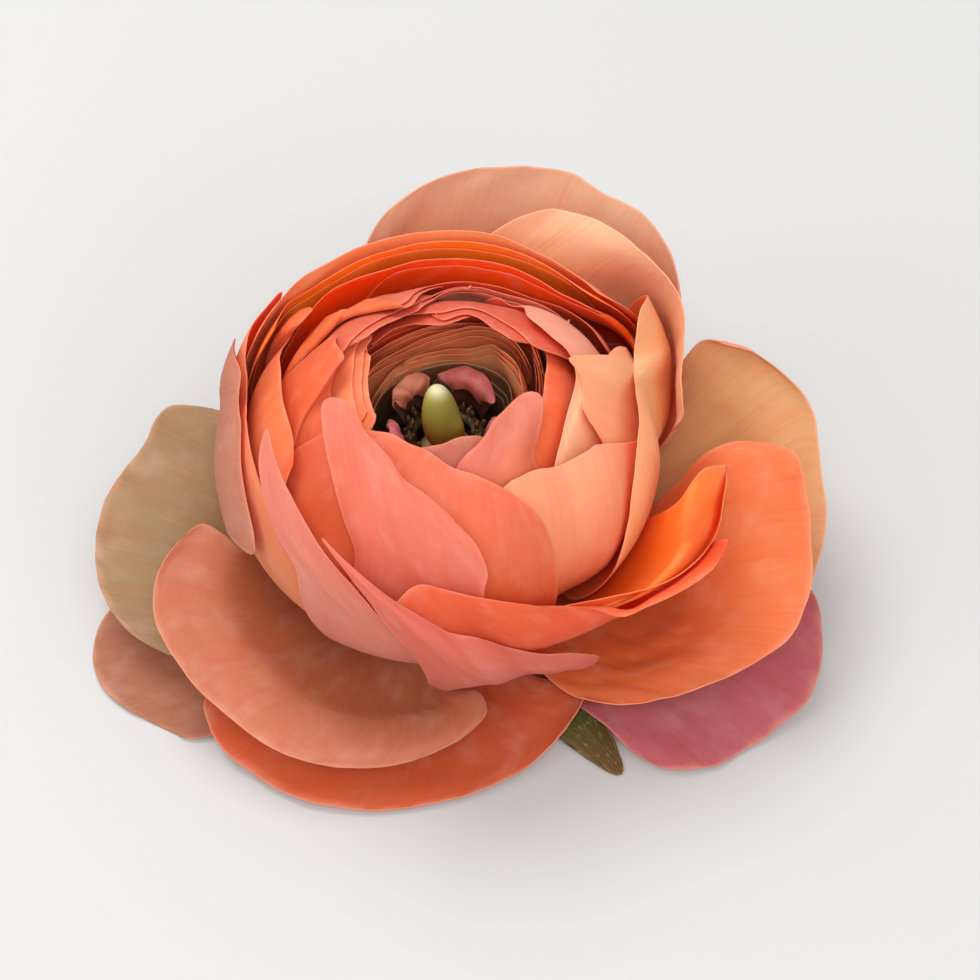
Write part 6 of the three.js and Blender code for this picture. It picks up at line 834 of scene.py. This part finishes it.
# stamens: short curved filaments with dark anthers, in three staggered rows on a low ring
def stamens():
    V, F, T, Gr = [], [], [], []

    def tube(path, radii, colour, segs=8):
        path = np.asarray(path); start = len(V)
        d = np.gradient(path, axis=0); d /= np.linalg.norm(d, axis=1, keepdims=True)
        ref = np.array([0.3, 0.2, 0.93])
        for k, (c, r) in enumerate(zip(path, radii)):
            e = np.cross(d[k], ref); e /= max(np.linalg.norm(e), 1e-6); f = np.cross(d[k], e)
            for s in range(segs):
                w = 2 * math.pi * s / segs
                V.append(c + r * (math.cos(w) * e + math.sin(w) * f)); T.append(colour[k]); Gr.append((w * r, k * 0.4, start * 0.01))
        for k in range(len(path) - 1):
            for s in range(segs):
                m = (s + 1) % segs
                a, b = start + k * segs + s, start + k * segs + m
                F.append([a, a + segs, b + segs, b])
        F.append([start + s for s in range(segs)])
        F.append([start + (len(path) - 1) * segs + s for s in reversed(range(segs))])
    r = np.random.RandomState(21)
    fil, dark, brown = lin((104, 88, 44)), lin((44, 24, 14)), lin((98, 60, 26))
    for row, (rad, count, h) in enumerate(((4.05, 17, 5.4), (4.7, 20, 4.9), (5.25, 23, 4.3))):
        for k in range(count):
            az = 2 * math.pi * (k + 0.33 * row + r.uniform(-0.25, 0.25)) / count
            rr = rad + r.uniform(-0.15, 0.15); hh = h + r.uniform(-0.5, 0.5)
            out = np.array([math.cos(az), math.sin(az), 0])
            foot = np.array([*CARPEL_AXIS, 2.5]) + out * (rr - 0.15)
            lean = out * r.uniform(-0.05, 0.3) + np.array([-out[1], out[0], 0]) * r.uniform(-0.25, 0.25)
            pts = [foot + np.array([0, 0, (hh - 3.9) * u]) + lean * u * u for u in np.linspace(0, 1, 5)]
            # the filaments are painted darker towards their feet, half as bright at the foot: painted shade low in the
            # ring
            tube(pts, [0.20, 0.17, 0.15, 0.14, 0.13], [fil * 0.5, fil * 0.7, fil, fil, fil])
            top = pts[-1]
            ax = np.array([0, 0, 1.0]) + lean * 0.8 + out * r.uniform(-0.2, 0.3); ax /= np.linalg.norm(ax)
            ln = r.uniform(1.2, 1.6)
            ap = [top - ax * 0.12 + ax * ln * u for u in np.linspace(0, 1, 7)]
            tone = dark + (brown - dark) * r.uniform(0, 1)
            tube(ap, [0.10, 0.26, 0.34, 0.36, 0.34, 0.26, 0.08], [tone * 0.8, tone, tone, tone * 1.2, tone, tone, tone * 1.3])
    # the low ring that they stand on
    n = 48
    start = len(V)
    for s in range(n):
        w = 2 * math.pi * s / n
        for rr, z in ((3.9, 2.6), (5.4, 2.6), (5.35, 2.9), (4.6, 3.1), (3.95, 2.9)):
            V.append(np.array([CARPEL_AXIS[0] + rr * math.cos(w), CARPEL_AXIS[1] + rr * math.sin(w), z])); T.append(lin((84, 66, 38))); Gr.append((w * 4, z, 0))
    for s in range(n):
        m = (s + 1) % n
        for k in range(5):
            l = (k + 1) % 5
            F.append([start + s * 5 + k, start + m * 5 + k, start + m * 5 + l, start + s * 5 + l])
    make("skin_stamens", np.array(V), F, np.array(T), np.array(Gr), MATS["carpel_olive"], "stamen_ring", "carpel_olive")


stamens()

# receptacle: a ridged column under the petals, and the cut stem below it
turned("skin_receptacle", "receptacle", "green_stem",
       [(0, -24.45), (3.0, -24.3), (4.6, -23.4), (5.1, -22.2), (5.12, -14.0), (5.1, -6.0), (4.7, -2.0), (3.9, 0.4), (2.6, 1.6), (0, 1.95)],
       72, lambda u, s, z: lin((120, 128, 62)) * (0.85 + 0.15 * math.sin(9 * s)) + (lin((176, 138, 84)) - lin((120, 128, 62))) * smooth(z, -14, 0),
       lambda s, z, r: 0.012 * math.sin(15 * s + 0.4 * z) - 0.012)


def stem_colour(u, s, z):
    skin, pith, ring = lin((112, 124, 52)), lin((196, 202, 142)), lin((150, 168, 88))
    return skin


turned("skin_stem", "stem_stub", "green_stem",
       [(0, -27.90), (0.9, -27.94), (1.9, -27.98), (2.1, -27.85), (2.12, -26.4), (2.16, -25.1), (1.9, -24.93), (0, -24.9)],
       56, lambda u, s, z: (lin((196, 202, 142)) if z < -27.86 else lin((112, 124, 52))),
       lambda s, z, r: 0.025 * math.sin(11 * s) - 0.02, sub=4)

# ------------------------------------------------------------------- stage --
floor = bpy.data.meshes.new("floor")
floor.from_pydata([(-3, -3, 0), (3, -3, 0), (3, 3, 0), (-3, 3, 0)], [], [(0, 1, 2, 3)])
floor_ob = bpy.data.objects.new("floor", floor)
bpy.context.scene.collection.objects.link(floor_ob)
fm = bpy.data.materials.new("floor_pale")
nt, N, L = nodes_of(fm)
fo = N.new("ShaderNodeOutputMaterial"); fb = N.new("ShaderNodeBsdfPrincipled")
fb.inputs["Base Color"].default_value = (0.50, 0.495, 0.485, 1); fb.inputs["Roughness"].default_value = 0.75
L.new(fb.outputs[0], fo.inputs["Surface"])
floor.materials.append(fm)

bpy.context.scene.view_settings.view_transform = "Standard"
w = bpy.data.worlds.new("studio"); bpy.context.scene.world = w
w.use_nodes = True
bg = w.node_tree.nodes["Background"]
bg.inputs["Color"].default_value = (0.93, 0.96, 1.0, 1); bg.inputs["Strength"].default_value = 0.76


def area(name, loc, target, size, power, colour):
    li = bpy.data.lights.new(name, "AREA"); li.shape = "DISK"; li.size = size; li.energy = power; li.color = colour
    ob = bpy.data.objects.new(name, li)
    bpy.context.scene.collection.objects.link(ob)
    ob.location = loc
    ob.rotation_euler = (Vector(target) - Vector(loc)).to_track_quat("-Z", "Y").to_euler()


area("key", (-0.25, 0.30, 0.75), (0, 0, 0.02), 0.55, 4.6, (1.0, 0.985, 0.96))
area("fill", (0.45, -0.55, 0.55), (0, 0, 0.02), 0.7, 2.35, (0.97, 0.98, 1.0))
area("front", (0.02, -0.42, 0.62), (0, 0, 0.03), 0.30, 1.45, (1.0, 0.99, 0.97))
area("side", (-0.60, -0.25, 0.35), (0, 0, 0.02), 0.5, 1.6, (1.0, 0.97, 0.94))

# ------------------------------------------------------------------ camera --
EL = math.radians(52)
se, ce = math.sin(EL), math.cos(EL)
right, up, back = Vector((1, 0, 0)), Vector((0, se, ce)), Vector((0, -ce, se))
aim = Vector([s * 0.001 for s in SHIFT]) + (5.51 * right - 4.74 * up) * 0.001
cam_data = bpy.data.cameras.new("camera")
cam_data.sensor_width = 36.0; cam_data.lens = 2730.0 / 980.0 * 36.0
cam_data.clip_start = 0.01; cam_data.clip_end = 10.0
cam = bpy.data.objects.new("camera", cam_data)
bpy.context.scene.collection.objects.link(cam)
m = Matrix((right, up, back)).transposed().to_4x4()
m.translation = aim + back * 0.350
cam.matrix_world = m
bpy.context.scene.camera = cam
